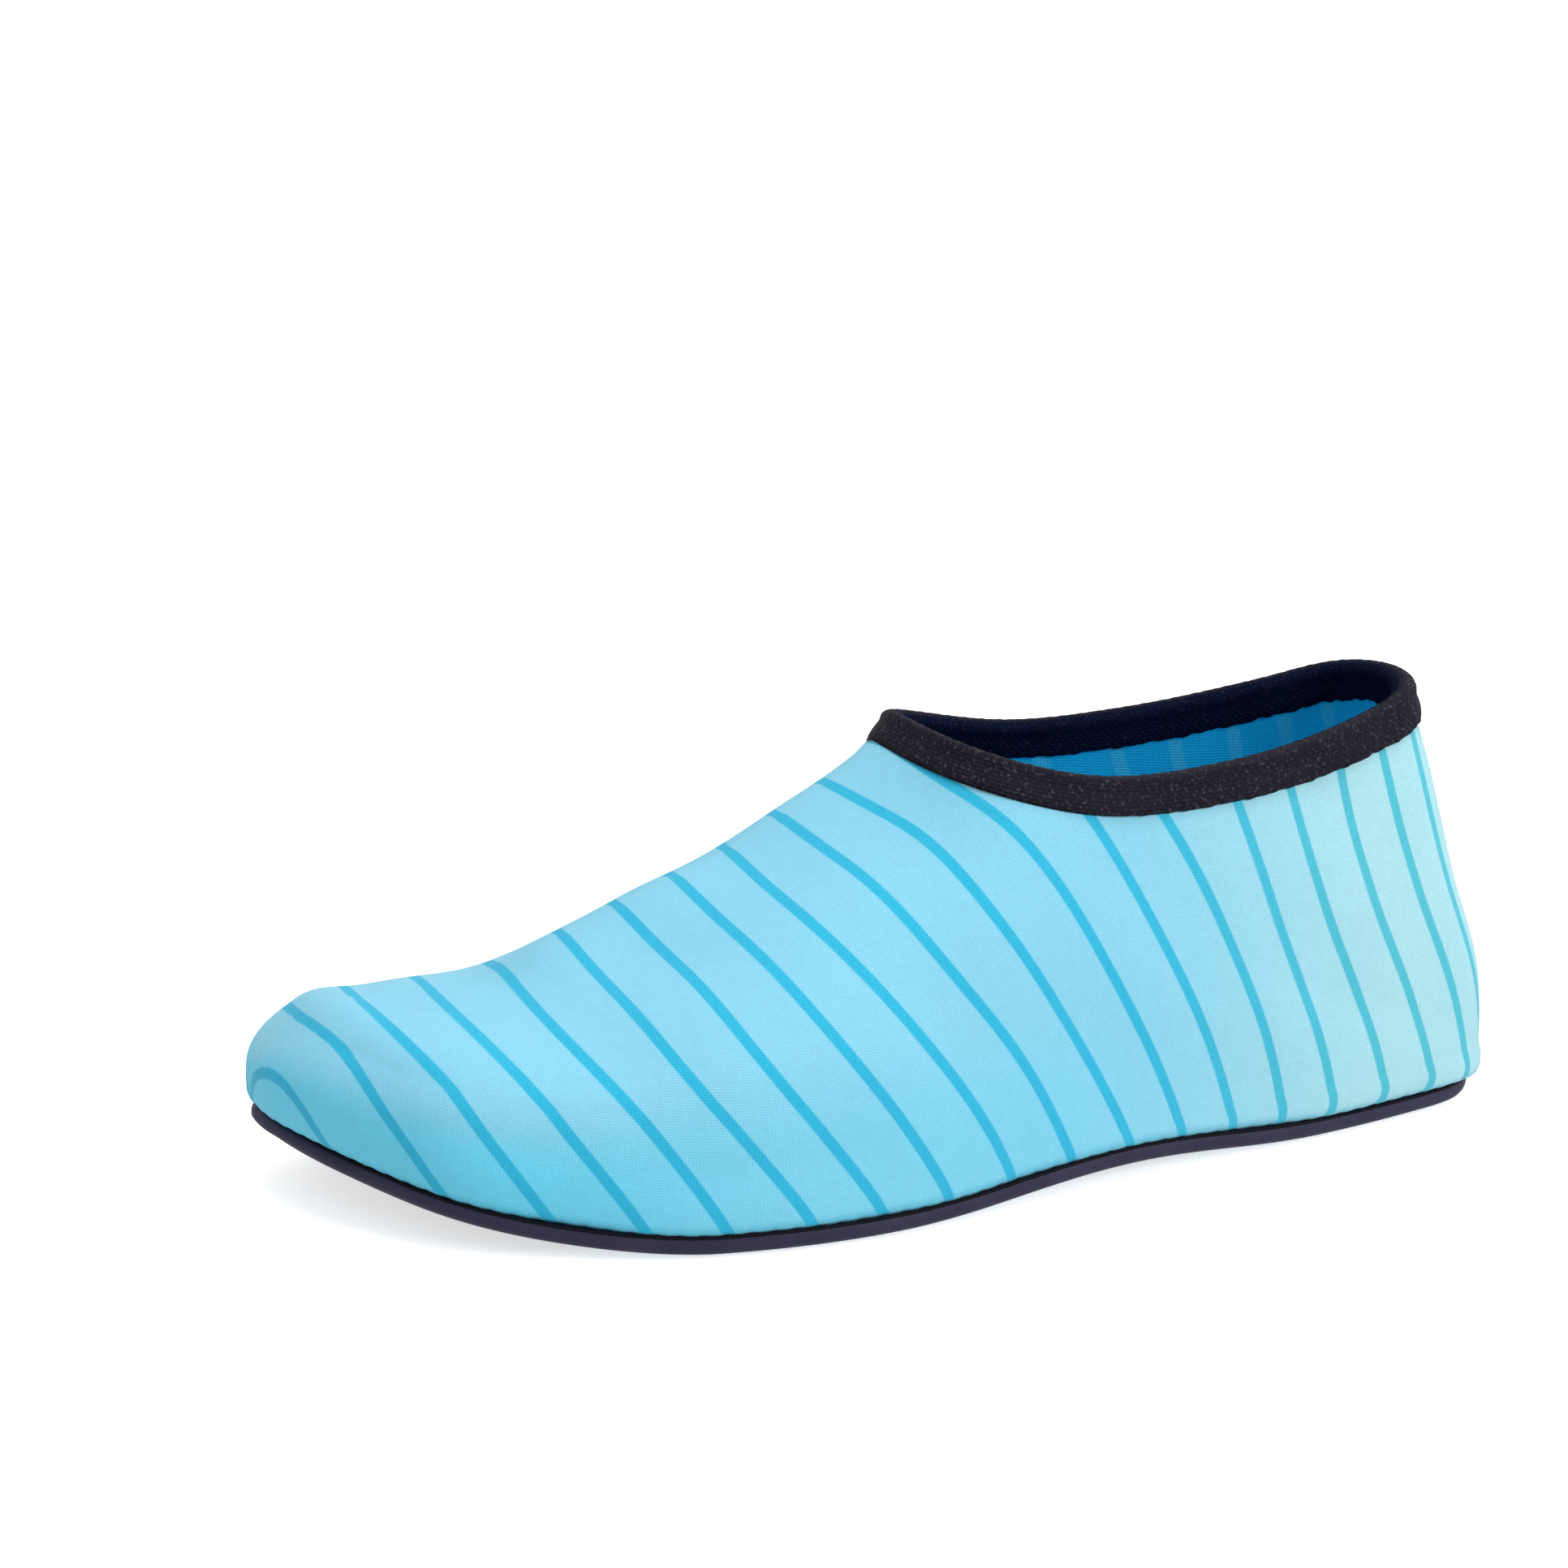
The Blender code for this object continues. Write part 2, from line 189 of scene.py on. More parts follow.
def round_share(share):
    """A share of the length as an angle share, so that heel and toe round off by themselves."""
    return np.arccos(np.clip(1 - 2 * np.asarray(share, float), -1, 1)) / np.pi


def column_of(table, name):
    return [getattr(row, name) for row in table]


def along(column, x):
    knots = round_share(column_of(SECTIONS, "at"))
    return smooth_through(knots, column_of(SECTIONS, column), round_share(np.asarray(x, float) / LENGTH))


def bottom_height(x):
    """Underside of the outsole: flat at heel and ball, raised at the arch, toe and heel edge."""
    at = np.asarray(x, float) / LENGTH
    arch = np.clip((at - HEEL_FLAT_END) / (BALL_FLAT_START - HEEL_FLAT_END), 0, 1)
    toe = np.clip((at - BALL_FLAT_END) / (1 - BALL_FLAT_END), 0, 1)
    heel = np.clip((HEEL_FLAT_START - at) / HEEL_FLAT_START, 0, 1)
    return (
        ARCH_RISE * np.sin(np.pi * arch) ** ARCH_POWER
        + TOE_SPRING * toe**SPRING_POWER
        + HEEL_KICK * heel**KICK_POWER
    )


def seam_height(x):
    return bottom_height(x) + SOLE_THICKNESS + CLEARANCE


def crown_rise(x):
    heel = along("heel", x) * (HEEL_HEIGHT - SOLE_THICKNESS)
    return heel + along("instep", x) * (INSTEP_HEIGHT - SOLE_THICKNESS)


def heel_curve(x, z):
    """How far forward the curve of the heel's back moves a point."""
    height = np.clip(z / HEEL_HEIGHT, 0, HEEL_BACK[-1].height)
    forward = smooth_through(column_of(HEEL_BACK, "height"), column_of(HEEL_BACK, "forward"), height)
    return forward * HEEL_HEIGHT * (1 - x / LENGTH) ** LEAN_POWER


def toe_curve(x, rise):
    """How far the toe swells forward at a height over the seam."""
    swell = np.sin(np.pi * np.clip(rise / TOE_BULGE_HEIGHT, 0, 1))
    return TOE_BULGE * swell * (x / LENGTH) ** TOE_BULGE_POWER


def last_point(x, angle, side):
    """A point of the upper's outside: angle 0 at the seam, a right angle at the crown."""
    x = np.asarray(x, float)
    angle = np.asarray(angle, float)
    half = np.maximum(along("half", x), 0) * BALL_WIDTH
    middle = along("centre", x) * BALL_WIDTH
    ridge = along("ridge", x) * BALL_WIDTH
    outward = np.cos(angle) ** SIDE_POWER
    swell = SIDE_BULGE * np.sin(2 * angle) * np.minimum(1, half / BULGE_FULL_WIDTH)
    y = middle + ridge + (side * half - ridge) * outward + side * swell
    rise = crown_rise(x) * np.sin(angle) ** CROWN_POWER
    z = seam_height(x) + rise
    return np.stack([x + heel_curve(x, z) + toe_curve(x, rise), y, z], axis=-1)


def angle_at_height(x, z):
    share = np.clip((z - seam_height(x)) / crown_rise(x), 0, 1)
    return np.arcsin(share ** (1 / CROWN_POWER))


def collar_line(share, lower):
    """Place along the foot and angle of a line that runs below the collar's edge by about lower."""
    knots = column_of(COLLAR, "at") + [1.0]
    throat = THROAT_LENGTH + lower
    heights = [row.height * HEEL_HEIGHT - lower for row in COLLAR]
    heights.append(float(seam_height(throat) + crown_rise(throat)))
    x = share * THROAT_LENGTH + lower * share**BAND_SHIFT_POWER
    angle = np.where(share >= 1, np.pi / 2, angle_at_height(x, smooth_through(knots, heights, share)))
    return x, angle


def evenly_along(points, places, count):
    """Places that divide the line through the points into steps of equal length."""
    steps = np.linalg.norm(np.diff(points, axis=0), axis=1)
    walked = np.concatenate([[0], np.cumsum(steps)])
    return np.interp(np.linspace(0, walked[-1], count), walked, places)


def collar_shares(count):
    """Shares along the collar that space its columns evenly on the outer side's edge."""
    fine = (1 - np.cos(np.linspace(0, np.pi, FINE_SAMPLES))) / 2
    return evenly_along(last_point(*collar_line(fine, 0.0), LATERAL), fine, count)


def fine_places(start, end):
    """Closely spaced places along the foot, closer still towards the heel and toe."""
    turn = np.linspace(round_share(start / LENGTH), round_share(end / LENGTH), FINE_SAMPLES)
    return LENGTH * (1 - np.cos(np.pi * turn)) / 2


def evenly_spaced(start, end, angle, count):
    """Places from start to end along the foot, evenly spaced on the outer side at one angle."""
    fine = fine_places(start, end)
    return evenly_along(last_point(fine, np.full(len(fine), angle), LATERAL), fine, count)


def band_lines(shares, depths, side):
    """Lines that lie a true distance below the collar's edge: their places and angles."""
    trial = np.linspace(0, 2 * max(depths), TRIAL_LINES)
    lines = [collar_line(shares, lower) for lower in trial]
    points = np.array([last_point(x, angle, side) for x, angle in lines])
    steps = np.linalg.norm(np.diff(points, axis=0), axis=2)
    walked = np.concatenate([np.zeros((1, len(shares))), np.cumsum(steps, axis=0)])
    found = []
    for depth in depths:
        lower = np.array([np.interp(depth, walked[:, i], trial) for i in range(len(shares))])
        pairs = [collar_line(np.array([share]), each) for share, each in zip(shares, lower)]
        x = np.array([pair[0][0] for pair in pairs])
        angle = np.array([pair[1][0] for pair in pairs])
        found.append((x, angle))
    return found


def seam_walk(x):
    """Distance walked round the seam from the heel's back to a place along the foot."""
    fine = fine_places(0.0, LENGTH)
    steps = np.linalg.norm(np.diff(last_point(fine, np.zeros(len(fine)), LATERAL), axis=0), axis=1)
    return np.interp(x, fine, np.concatenate([[0], np.cumsum(steps)]))


def around(lateral, medial):
    """Two sides, heel to toe, joined into one closed loop that shares both ends."""
    return np.concatenate([lateral, medial[:, -2:0:-1]], axis=1)


def place_in_row():
    """How far the last's own frame is from the row frame, read from where the outsole solid lies."""
    low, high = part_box("outsole")
    outline = sole_outline()
    middle = (outline[:, 1].min() + outline[:, 1].max()) / 2
    return np.array([high.x - LENGTH, (low.y + high.y) / 2 - middle, 0.0])


def sole_outline(count=2 * (COLLAR_COLUMNS + VAMP_COLUMNS) - 2):
    """The seam's outline in plan, as one closed loop from the heel round by the outer side."""
    x = evenly_spaced(0.0, LENGTH, 0.0, count // 2 + 1)
    sides = [last_point(x, np.zeros(len(x)), side)[None, :, :2] for side in (LATERAL, MEDIAL)]
    return around(*sides)[0]


def inward_of(outline):
    """Unit directions that point into a closed outline, at right angles to it."""
    ahead = np.roll(outline, -1, axis=0) - np.roll(outline, 1, axis=0)
    inward = np.stack([ahead[:, 1], -ahead[:, 0]], axis=1)
    inward /= np.linalg.norm(inward, axis=1, keepdims=True)
    if np.dot(inward[0], outline.mean(axis=0) - outline[0]) < 0:
        inward = -inward
    return inward


def ring_at(outline, distance, height):
    """The outline's inset loop, a height above the underside of the outsole."""
    flat = outline + inward_of(outline) * np.reshape(distance, (-1, 1))
    return np.column_stack([flat, bottom_height(flat[:, 0]) + height])


SHIFT = place_in_row()


class Cloth:
    """Gathers grids of points into one mesh, with a value of each named kind at every point."""

    def __init__(self, *kinds):
        self.kinds = kinds
        self.points = []
        self.values = {kind: [] for kind in kinds}
        self.faces = []
        self.finishes = []
        self.count = 0

    def grid(self, points, closed_rows=False, closed_columns=False, finish=0, **values):
        """Adds rows of points and the faces between them. A face with a missing corner is left open."""
        rows, columns = points.shape[:2]
        index = np.arange(rows * columns).reshape(rows, columns) + self.count
        index[np.isnan(points[..., 0])] = -1
        after_row = np.roll(index, -1, axis=0) if closed_rows else index[1:]
        this_row = index if closed_rows else index[:-1]
        if closed_columns:
            corners = (this_row, np.roll(this_row, -1, axis=1), np.roll(after_row, -1, axis=1), after_row)
        else:
            corners = (this_row[:, :-1], this_row[:, 1:], after_row[:, 1:], after_row[:, :-1])
        quads = np.stack(corners, axis=-1).reshape(-1, 4)
        quads = quads[(quads >= 0).all(axis=1)]
        self.faces.append(quads)
        self.finishes.append(np.full(len(quads), finish))
        self.points.append(points.reshape(-1, 3))
        for kind in self.kinds:
            value = np.broadcast_to(values.get(kind, 0.0), (rows, columns))
            self.values[kind].append(value.reshape(-1))
        self.count += rows * columns

    def disc(self, ring, across, finish=0):
        """Closes a loop that runs round by one side and back by the other, with rungs between the sides."""
        half = len(ring) // 2
        left = ring[: half + 1]
        right = np.concatenate([ring[:1], ring[:half - 1:-1]])
        share = np.linspace(0, 1, across + 1)[None, :, None]
        self.grid(left[:, None] * (1 - share) + right[:, None] * share, finish=finish)

    def make(self, name, materials, open_shell=False):
        """The finished piece: points that coincide are joined, and faces that collapse are left out."""
        points = np.nan_to_num(np.concatenate(self.points)) + SHIFT
        quads = np.concatenate(self.faces)
        _, first, joined = np.unique(
            np.round(points, MERGE_DIGITS), axis=0, return_index=True, return_inverse=True
        )
        quads = joined.reshape(-1)[quads]
        used = np.unique(quads)
        renumber = np.full(len(first), -1)
        renumber[used] = np.arange(len(used))
        faces = []
        finishes = []
        for quad, finish in zip(renumber[quads].tolist(), np.concatenate(self.finishes).tolist()):
            corners = [v for i, v in enumerate(quad) if v != quad[i - 1]]
            if len(corners) >= 3 and len(set(corners)) == len(corners):
                faces.append(corners)
                finishes.append(finish)
        mesh = bpy.data.meshes.new(name)
        mesh.from_pydata(points[first[used]], [], faces)
        for kind in self.kinds:
            mesh.attributes.new(kind, "FLOAT", "POINT")
            write_value(mesh, kind, np.nan_to_num(np.concatenate(self.values[kind]))[first[used]])
        mesh.polygons.foreach_set("material_index", finishes)
        for material in materials:
            mesh.materials.append(material)
        turn_outward(mesh, open_shell)
        mesh.shade_smooth()
        piece = new_object(name, mesh)
        return piece


def new_object(name, data):
    made = bpy.data.objects.new(name, data)
    bpy.context.scene.collection.objects.link(made)
    return made


def turn_outward(mesh, open_shell):
    work = bmesh.new()
    work.from_mesh(mesh)
    bmesh.ops.recalc_face_normals(work, faces=work.faces)
    if open_shell:
        widest = max(work.faces, key=lambda face: face.calc_center_median().y)
        if widest.normal.y < 0:
            bmesh.ops.reverse_faces(work, faces=work.faces)
    work.to_mesh(mesh)
    work.free()


def read_vectors(items, name):
    vectors = np.empty(len(items) * 3, np.float32)
    items.foreach_get(name, vectors)
    return vectors.reshape(-1, 3).astype(float)


def move_points(mesh, points):
    mesh.vertices.foreach_set("co", points.astype(np.float32).ravel())
    mesh.update()


def read_value(mesh, kind):
    value = np.empty(len(mesh.vertices), np.float32)
    mesh.attributes[kind].data.foreach_get("value", value)
    return value.astype(float)


def write_value(mesh, kind, value):
    mesh.attributes[kind].data.foreach_set("value", value.astype(np.float32))


# Shader building.


MIX_FIRST = 6  # the colour sockets of a mix node
MIX_SECOND = 7
MIX_RESULT = 2


def give(tree, node, inputs):
    """Gives a node its inputs, as numbers and colours or as links from other nodes."""
    for name, value in inputs.items():
        if isinstance(value, bpy.types.NodeSocket):
            tree.links.new(value, node.inputs[name])
        else:
            node.inputs[name].default_value = value
    return node


def add_node(tree, kind, inputs=None, **settings):
    """A node with its settings made and its inputs given."""
    node = tree.nodes.new(kind)
    for name, value in settings.items():
        setattr(node, name, value)
    return give(tree, node, inputs or {})


def calc(tree, operation, *values):
    return add_node(tree, "ShaderNodeMath", dict(enumerate(values)), operation=operation).outputs[0]


def times(tree, first, second):
    return calc(tree, "MULTIPLY", first, second)


def scaled(tree, value, factor, added):
    return calc(tree, "MULTIPLY_ADD", value, factor, added)


def smooth_step(tree, value, start, end):
    inputs = {"Value": value, "From Min": start, "From Max": end}
    return add_node(tree, "ShaderNodeMapRange", inputs, interpolation_type="SMOOTHSTEP").outputs[0]


def mixed(tree, factor, first, second, blend="MIX"):
    inputs = {0: factor, MIX_FIRST: first, MIX_SECOND: second}
    node = add_node(tree, "ShaderNodeMix", data_type="RGBA", blend_type=blend, clamp_factor=True)
    return give(tree, node, inputs).outputs[MIX_RESULT]


def cloth_value(tree, kind):
    return add_node(tree, "ShaderNodeAttribute", attribute_name=kind).outputs["Fac"]


def place_vector(tree):
    return add_node(tree, "ShaderNodeTexCoord").outputs["Object"]


def new_group(name, inputs, outputs):
    """An empty node group with named sockets, and its two end nodes."""
    group = bpy.data.node_groups.new(name, "ShaderNodeTree")
    for label, kind, value in inputs:
        socket = group.interface.new_socket(label, in_out="INPUT", socket_type=kind)
        if value is not None:
            socket.default_value = value
    for label, kind in outputs:
        group.interface.new_socket(label, in_out="OUTPUT", socket_type=kind)
    start = group.nodes.new("NodeGroupInput")
    end = group.nodes.new("NodeGroupOutput")
    return group, start, end


def use_group(tree, group, inputs):
    return add_node(tree, "ShaderNodeGroup", inputs, node_tree=group).outputs


def fabric_group(name, sizes):
    """A group for a knit or weave, which puts out the threads' height and the gaps between them."""
    inputs = [(label, "NodeSocketFloat", value) for label, value in (("Across", 0.0), ("Up", 0.0), *sizes)]
    return new_group(name, inputs, [("Height", "NodeSocketFloat"), ("Gap", "NodeSocketFloat")])


LOOP_EDGE_POWER = 4.0
FINER = 14.0  # how many times finer the fine mottle is


def knit_group():
    """Rows of small V loops: their height, and how deep the gaps between them lie."""
    sizes = (("Wale", 0.0006), ("Course", 0.0005), ("Slant", 0.6))
    group, start, end = fabric_group("fine_knit", sizes)
    across = calc(group, "DIVIDE", start.outputs["Across"], start.outputs["Wale"])
    up = calc(group, "DIVIDE", start.outputs["Up"], start.outputs["Course"])
    part = calc(group, "ABSOLUTE", calc(group, "SUBTRACT", calc(group, "FRACT", across), 0.5))
    off_middle = times(group, part, 2.0)
    slanted = scaled(group, off_middle, start.outputs["Slant"], up)
    loop = scaled(group, calc(group, "SINE", times(group, slanted, math.tau)), 0.5, 0.5)
    edge = calc(group, "SUBTRACT", 1.0, calc(group, "POWER", off_middle, LOOP_EDGE_POWER))
    height = times(group, loop, edge)
    give(group, end, {"Height": height, "Gap": calc(group, "SUBTRACT", 1.0, height)})
    return group


def mottle_group():
    """Soft uneven patches, from 0 to 1, at one size and at a finer one."""
    group, start, end = new_group(
        "cloth_mottle",
        [("Place", "NodeSocketVector", None), ("Patch", "NodeSocketFloat", 0.02)],
        [("Broad", "NodeSocketFloat"), ("Fine", "NodeSocketFloat")],
    )
    scale = calc(group, "DIVIDE", 1.0, start.outputs["Patch"])
    for label, size, detail in (("Broad", scale, 2.0), ("Fine", times(group, scale, FINER), 3.0)):
        inputs = {"Vector": start.outputs["Place"], "Scale": size, "Detail": detail}
        give(group, end, {label: add_node(group, "ShaderNodeTexNoise", inputs).outputs[0]})
    return group


def weave_group():
    """Plain weave of two thread sets: height and gap, with the threads' own unevenness."""
    group, start, end = fabric_group("tape_weave", (("Thread", 0.0006), ("Rib", 0.5)))
    waves = []
    for label in ("Across", "Up"):
        count = calc(group, "DIVIDE", start.outputs[label], start.outputs["Thread"])
        waves.append(calc(group, "SINE", times(group, count, math.pi)))
    over = scaled(group, times(group, *waves), 0.5, 0.5)
    rib = times(group, calc(group, "ABSOLUTE", waves[1]), start.outputs["Rib"])
    height = calc(group, "ADD", over, rib)
    give(group, end, {"Height": height, "Gap": calc(group, "SUBTRACT", 1.0, over)})
    return group


LINING_PAINTED_GLOW = 0.17  # painted light: the lining glows, standing in for light that comes through the thin knit
LINING_BAND_SHARE = 1.3  # how much wider a band shows through on the lining

FINE_KNIT = knit_group()
CLOTH_MOTTLE = mottle_group()
TAPE_WEAVE = weave_group()


def new_material(name):
    material = bpy.data.materials.new(name)
    material.use_nodes = True
    tree = material.node_tree
    return material, tree, tree.nodes["Principled BSDF"]


def mottled_material(name, patch):
    """A new material, its tree and shader, and a broad and a fine mottle. patch: the broad one's size."""
    material, tree, shader = new_material(name)
    mottle = use_group(tree, CLOTH_MOTTLE, {"Place": place_vector(tree), "Patch": patch})
    return material, tree, shader, mottle["Broad"], mottle["Fine"]


def along_cloth(tree, group, sizes):
    """A knit or weave that follows the cloth's own directions."""
    directions = {"Across": cloth_value(tree, "walk"), "Up": cloth_value(tree, "up")}
    return use_group(tree, group, {**directions, **sizes})


def darkened(tree, painted, shade):
    gray = add_node(tree, "ShaderNodeCombineColor", {0: shade, 1: shade, 2: shade}).outputs[0]
    return mixed(tree, 1.0, painted, gray, "MULTIPLY")


def bumped(tree, height, distance, strength):
    inputs = {"Height": height, "Distance": distance, "Strength": strength}
    return add_node(tree, "ShaderNodeBump", inputs).outputs[0]


DARK_SHARE = 0.04045  # below this, light goes straight with the colour's share


def color(red, green, blue):
    """A colour as the eye names it, from 0 to 255, turned into light."""
    shares = [part / 255 for part in (red, green, blue)]
    light = [c / 12.92 if c <= DARK_SHARE else ((c + 0.055) / 1.055) ** 2.4 for c in shares]
    return (*light, 1.0)


def band_mask(tree, width, softness):
    """1 inside the darker bands of the print and 0 between them."""
    number = calc(tree, "ADD", cloth_value(tree, "band"), 0.5)
    off = calc(tree, "ABSOLUTE", calc(tree, "SUBTRACT", calc(tree, "FRACT", number), 0.5))
    away = times(tree, off, cloth_value(tree, "pitch"))
    return smooth_step(tree, away, width / 2 + softness, width / 2 - softness)


def aqua_knit():
    material, tree, shader, broad, fine = mottled_material("aqua_knit", 0.03)
    knit = along_cloth(tree, FINE_KNIT, {"Wale": 0.00062, "Course": 0.00050})
    heel = smooth_step(tree, cloth_value(tree, "walk"), 0.115, 0.035)
    # painted shade: the ground and stripe colours deepen where the cloth turns under, low on the sides and
    # round the toe
    deep = times(tree, cloth_value(tree, "shade"), 0.75)
    # painted shade: a darker, deeper blue band just above the seam with the sole, where its shadow falls
    edge = smooth_step(tree, cloth_value(tree, "up"), 0.0026, 0.0006)
    ground = mixed(tree, heel, color(137, 209, 234), color(172, 222, 230))
    ground = mixed(tree, times(tree, broad, 0.25), ground, color(120, 204, 234))
    ground = mixed(tree, deep, ground, color(92, 214, 246))
    ground = mixed(tree, times(tree, edge, 0.5), ground, color(66, 180, 212))
    stripe = mixed(tree, heel, color(38, 182, 220), color(76, 190, 210))
    stripe = mixed(tree, deep, stripe, color(38, 180, 220))
    painted = mixed(tree, band_mask(tree, BAND_WIDTH, 0.00022), ground, stripe)
    shade = times(tree, scaled(tree, fine, 0.10, 0.95), scaled(tree, knit["Gap"], -0.10, 1.03))
    height = scaled(tree, fine, 0.6, knit["Height"])
    inputs = {
        "Base Color": darkened(tree, painted, shade),
        "Roughness": scaled(tree, knit["Gap"], 0.12, 0.62),
        "Normal": bumped(tree, height, 0.00012, 0.55),
        "Sheen Weight": 0.12,
        "Sheen Roughness": 0.45,
        "Specular IOR Level": 0.3,
    }
    give(tree, shader, inputs)
    return material


def blue_lining():
    material, tree, shader, broad, fine = mottled_material("blue_lining", 0.012)
    knit = along_cloth(tree, FINE_KNIT, {"Wale": 0.00075, "Course": 0.00060, "Slant": 0.3})
    ground = mixed(tree, broad, color(8, 158, 208), color(18, 172, 222))
    through = times(tree, band_mask(tree, BAND_WIDTH * LINING_BAND_SHARE, 0.0006), 0.5)
    painted = mixed(tree, times(tree, through, fine), ground, color(110, 205, 215))
    height = calc(tree, "ADD", fine, knit["Height"])
    inputs = {
        "Base Color": darkened(tree, painted, scaled(tree, knit["Gap"], -0.22, 1.06)),
        "Roughness": 0.85,
        "Normal": bumped(tree, height, 0.00018, 0.7),
        "Specular IOR Level": 0.15,
        # painted light: the lining glows as if lit through the thin knit
        "Emission Color": color(8, 140, 190),
        "Emission Strength": LINING_PAINTED_GLOW,
    }
    give(tree, shader, inputs)
    return material


def black_tape():
    material, tree, shader, broad, fine = mottled_material("black_tape", 0.011)
    weave = along_cloth(tree, TAPE_WEAVE, {"Thread": 0.00075, "Rib": 0.8})
    inside = smooth_step(tree, cloth_value(tree, "inside"), 0.35, 0.65)
    outer = mixed(tree, broad, color(13, 12, 24), color(27, 25, 40))
    inner = mixed(tree, broad, color(5, 10, 30), color(9, 18, 46))
    slub = times(tree, smooth_step(tree, fine, 0.54, 0.70), 0.7)
    slub = times(tree, slub, scaled(tree, inside, -0.8, 1.0))
    ground = mixed(tree, slub, mixed(tree, inside, outer, inner), color(78, 70, 84))
    height = scaled(tree, fine, 1.2, weave["Height"])
    inputs = {
        "Base Color": darkened(tree, ground, scaled(tree, weave["Gap"], -0.75, 1.3)),
        "Roughness": scaled(tree, fine, 0.25, 0.6),
        "Normal": bumped(tree, height, 0.00022, 0.8),
        "Specular IOR Level": scaled(tree, inside, -0.12, 0.14),
    }
    give(tree, shader, inputs)
    return material


def dark_sole():
    material, tree, shader, broad, fine = mottled_material("dark_sole", 0.015)
    ground = mixed(tree, broad, color(29, 28, 50), color(49, 47, 75))
    scuff = smooth_step(tree, fine, 0.62, 0.80)
    inputs = {
        "Base Color": mixed(tree, times(tree, scuff, 0.25), ground, color(72, 68, 84)),
        "Specular IOR Level": 0.25,
        "Roughness": scaled(tree, fine, 0.3, 0.42),
        "Normal": bumped(tree, fine, 0.00010, 0.5),
    }
    give(tree, shader, inputs)
    return material


def sole_cloth():
    material, tree, shader, broad, _ = mottled_material("sole_cloth", 0.02)
    split = add_node(tree, "ShaderNodeSeparateXYZ", {0: place_vector(tree)}).outputs
    weave = use_group(tree, TAPE_WEAVE, {"Across": split[0], "Up": split[1], "Thread": 0.0007, "Rib": 0.2})
    ground = mixed(tree, broad, color(12, 15, 24), color(24, 25, 36))
    inputs = {
        "Base Color": darkened(tree, ground, scaled(tree, weave["Gap"], -0.6, 1.25)),
        "Roughness": 0.8,
        "Normal": bumped(tree, weave["Height"], 0.00020, 0.7),
    }
    give(tree, shader, inputs)
    return material


def seam_cloth():
    """The turned edge of the upper that shows under the flat seam's threads."""
    material, tree, shader, broad, fine = mottled_material("seam_cloth", 0.004)
    inputs = {
        "Base Color": mixed(tree, broad, color(70, 150, 185), color(150, 205, 225)),
        "Roughness": 0.8,
        "Normal": bumped(tree, fine, 0.00015, 0.6),
    }
    give(tree, shader, inputs)
    return material


def black_thread():
    material, tree, shader, broad, fine = mottled_material("black_thread", 0.002)
    inputs = {
        "Base Color": mixed(tree, broad, color(4, 5, 10), color(18, 18, 27)),
        "Specular IOR Level": 0.12,
        "Roughness": 0.8,
        "Normal": bumped(tree, fine, 0.00005, 0.6),
    }
    give(tree, shader, inputs)
    return material


def clear_rubber():
    material, tree, shader, broad, fine = mottled_material("clear_rubber", 0.004)
    inputs = {
        "Base Color": mixed(tree, broad, color(150, 156, 168), color(205, 208, 214)),
        "Roughness": scaled(tree, fine, 0.15, 0.08),
        "Transmission Weight": 0.85,
        "IOR": 1.45,
    }
    give(tree, shader, inputs)
    return material


# The upper.

# The soft fold along the crown. place: share of LENGTH. height: of the fold. drop: how far the cloth
# beside it lies lower on the inner side.
FoldKnot = namedtuple("FoldKnot", "place height drop")
FOLD = (
    FoldKnot(0.000, 0.0000, 0.0000),
    FoldKnot(0.400, 0.0000, 0.0000),
    FoldKnot(0.490, 0.0018, 0.0028),
    FoldKnot(0.530, 0.0034, 0.0022),
    FoldKnot(0.570, 0.0042, 0.0016),
    FoldKnot(0.640, 0.0043, 0.0013),
    FoldKnot(0.720, 0.0050, 0.0011),
    FoldKnot(0.790, 0.0045, 0.0008),
    FoldKnot(0.840, 0.0012, 0.0005),
    FoldKnot(0.890, 0.0001, 0.0001),
    FoldKnot(0.930, 0.0000, 0.0000),
    FoldKnot(1.000, 0.0000, 0.0000),
)
FOLD_WIDTH = 0.0125
DROP_START = 0.0062
DROP_REACH = 0.0240

# Painted shade: deeper colour where the cloth turns under. Starts and spreads in shares of LENGTH, heights
# in metres.
SIDE_SHADE = 0.42
SIDE_SHADE_START = 0.28
SIDE_SHADE_SPREAD = 0.25
TOE_SHADE_START = 0.66
TOE_SHADE_SPREAD = 0.22
SHADE_LOW = 0.009
TOE_SHADE_HIGH = 0.019
SIDE_SHADE_HIGH = 0.036
TUCK_DEPTH = 0.0006  # how far the cloth turns in where it meets the sole
TUCK_HEIGHT = 0.0007
PUCKER_DEPTH = 0.00012
PUCKER_PITCH = 0.0043
PUCKER_FADE = 0.0030

# Long soft waves of the cloth. walk and up: waves for each metre. height: metres.
Wave = namedtuple("Wave", "walk up turn height")
WAVES = (
    Wave(21.0, 9.0, 0.4, 0.00016),
    Wave(-13.0, 27.0, 2.1, 0.00014),
    Wave(34.0, -18.0, 4.0, 0.00009),
)
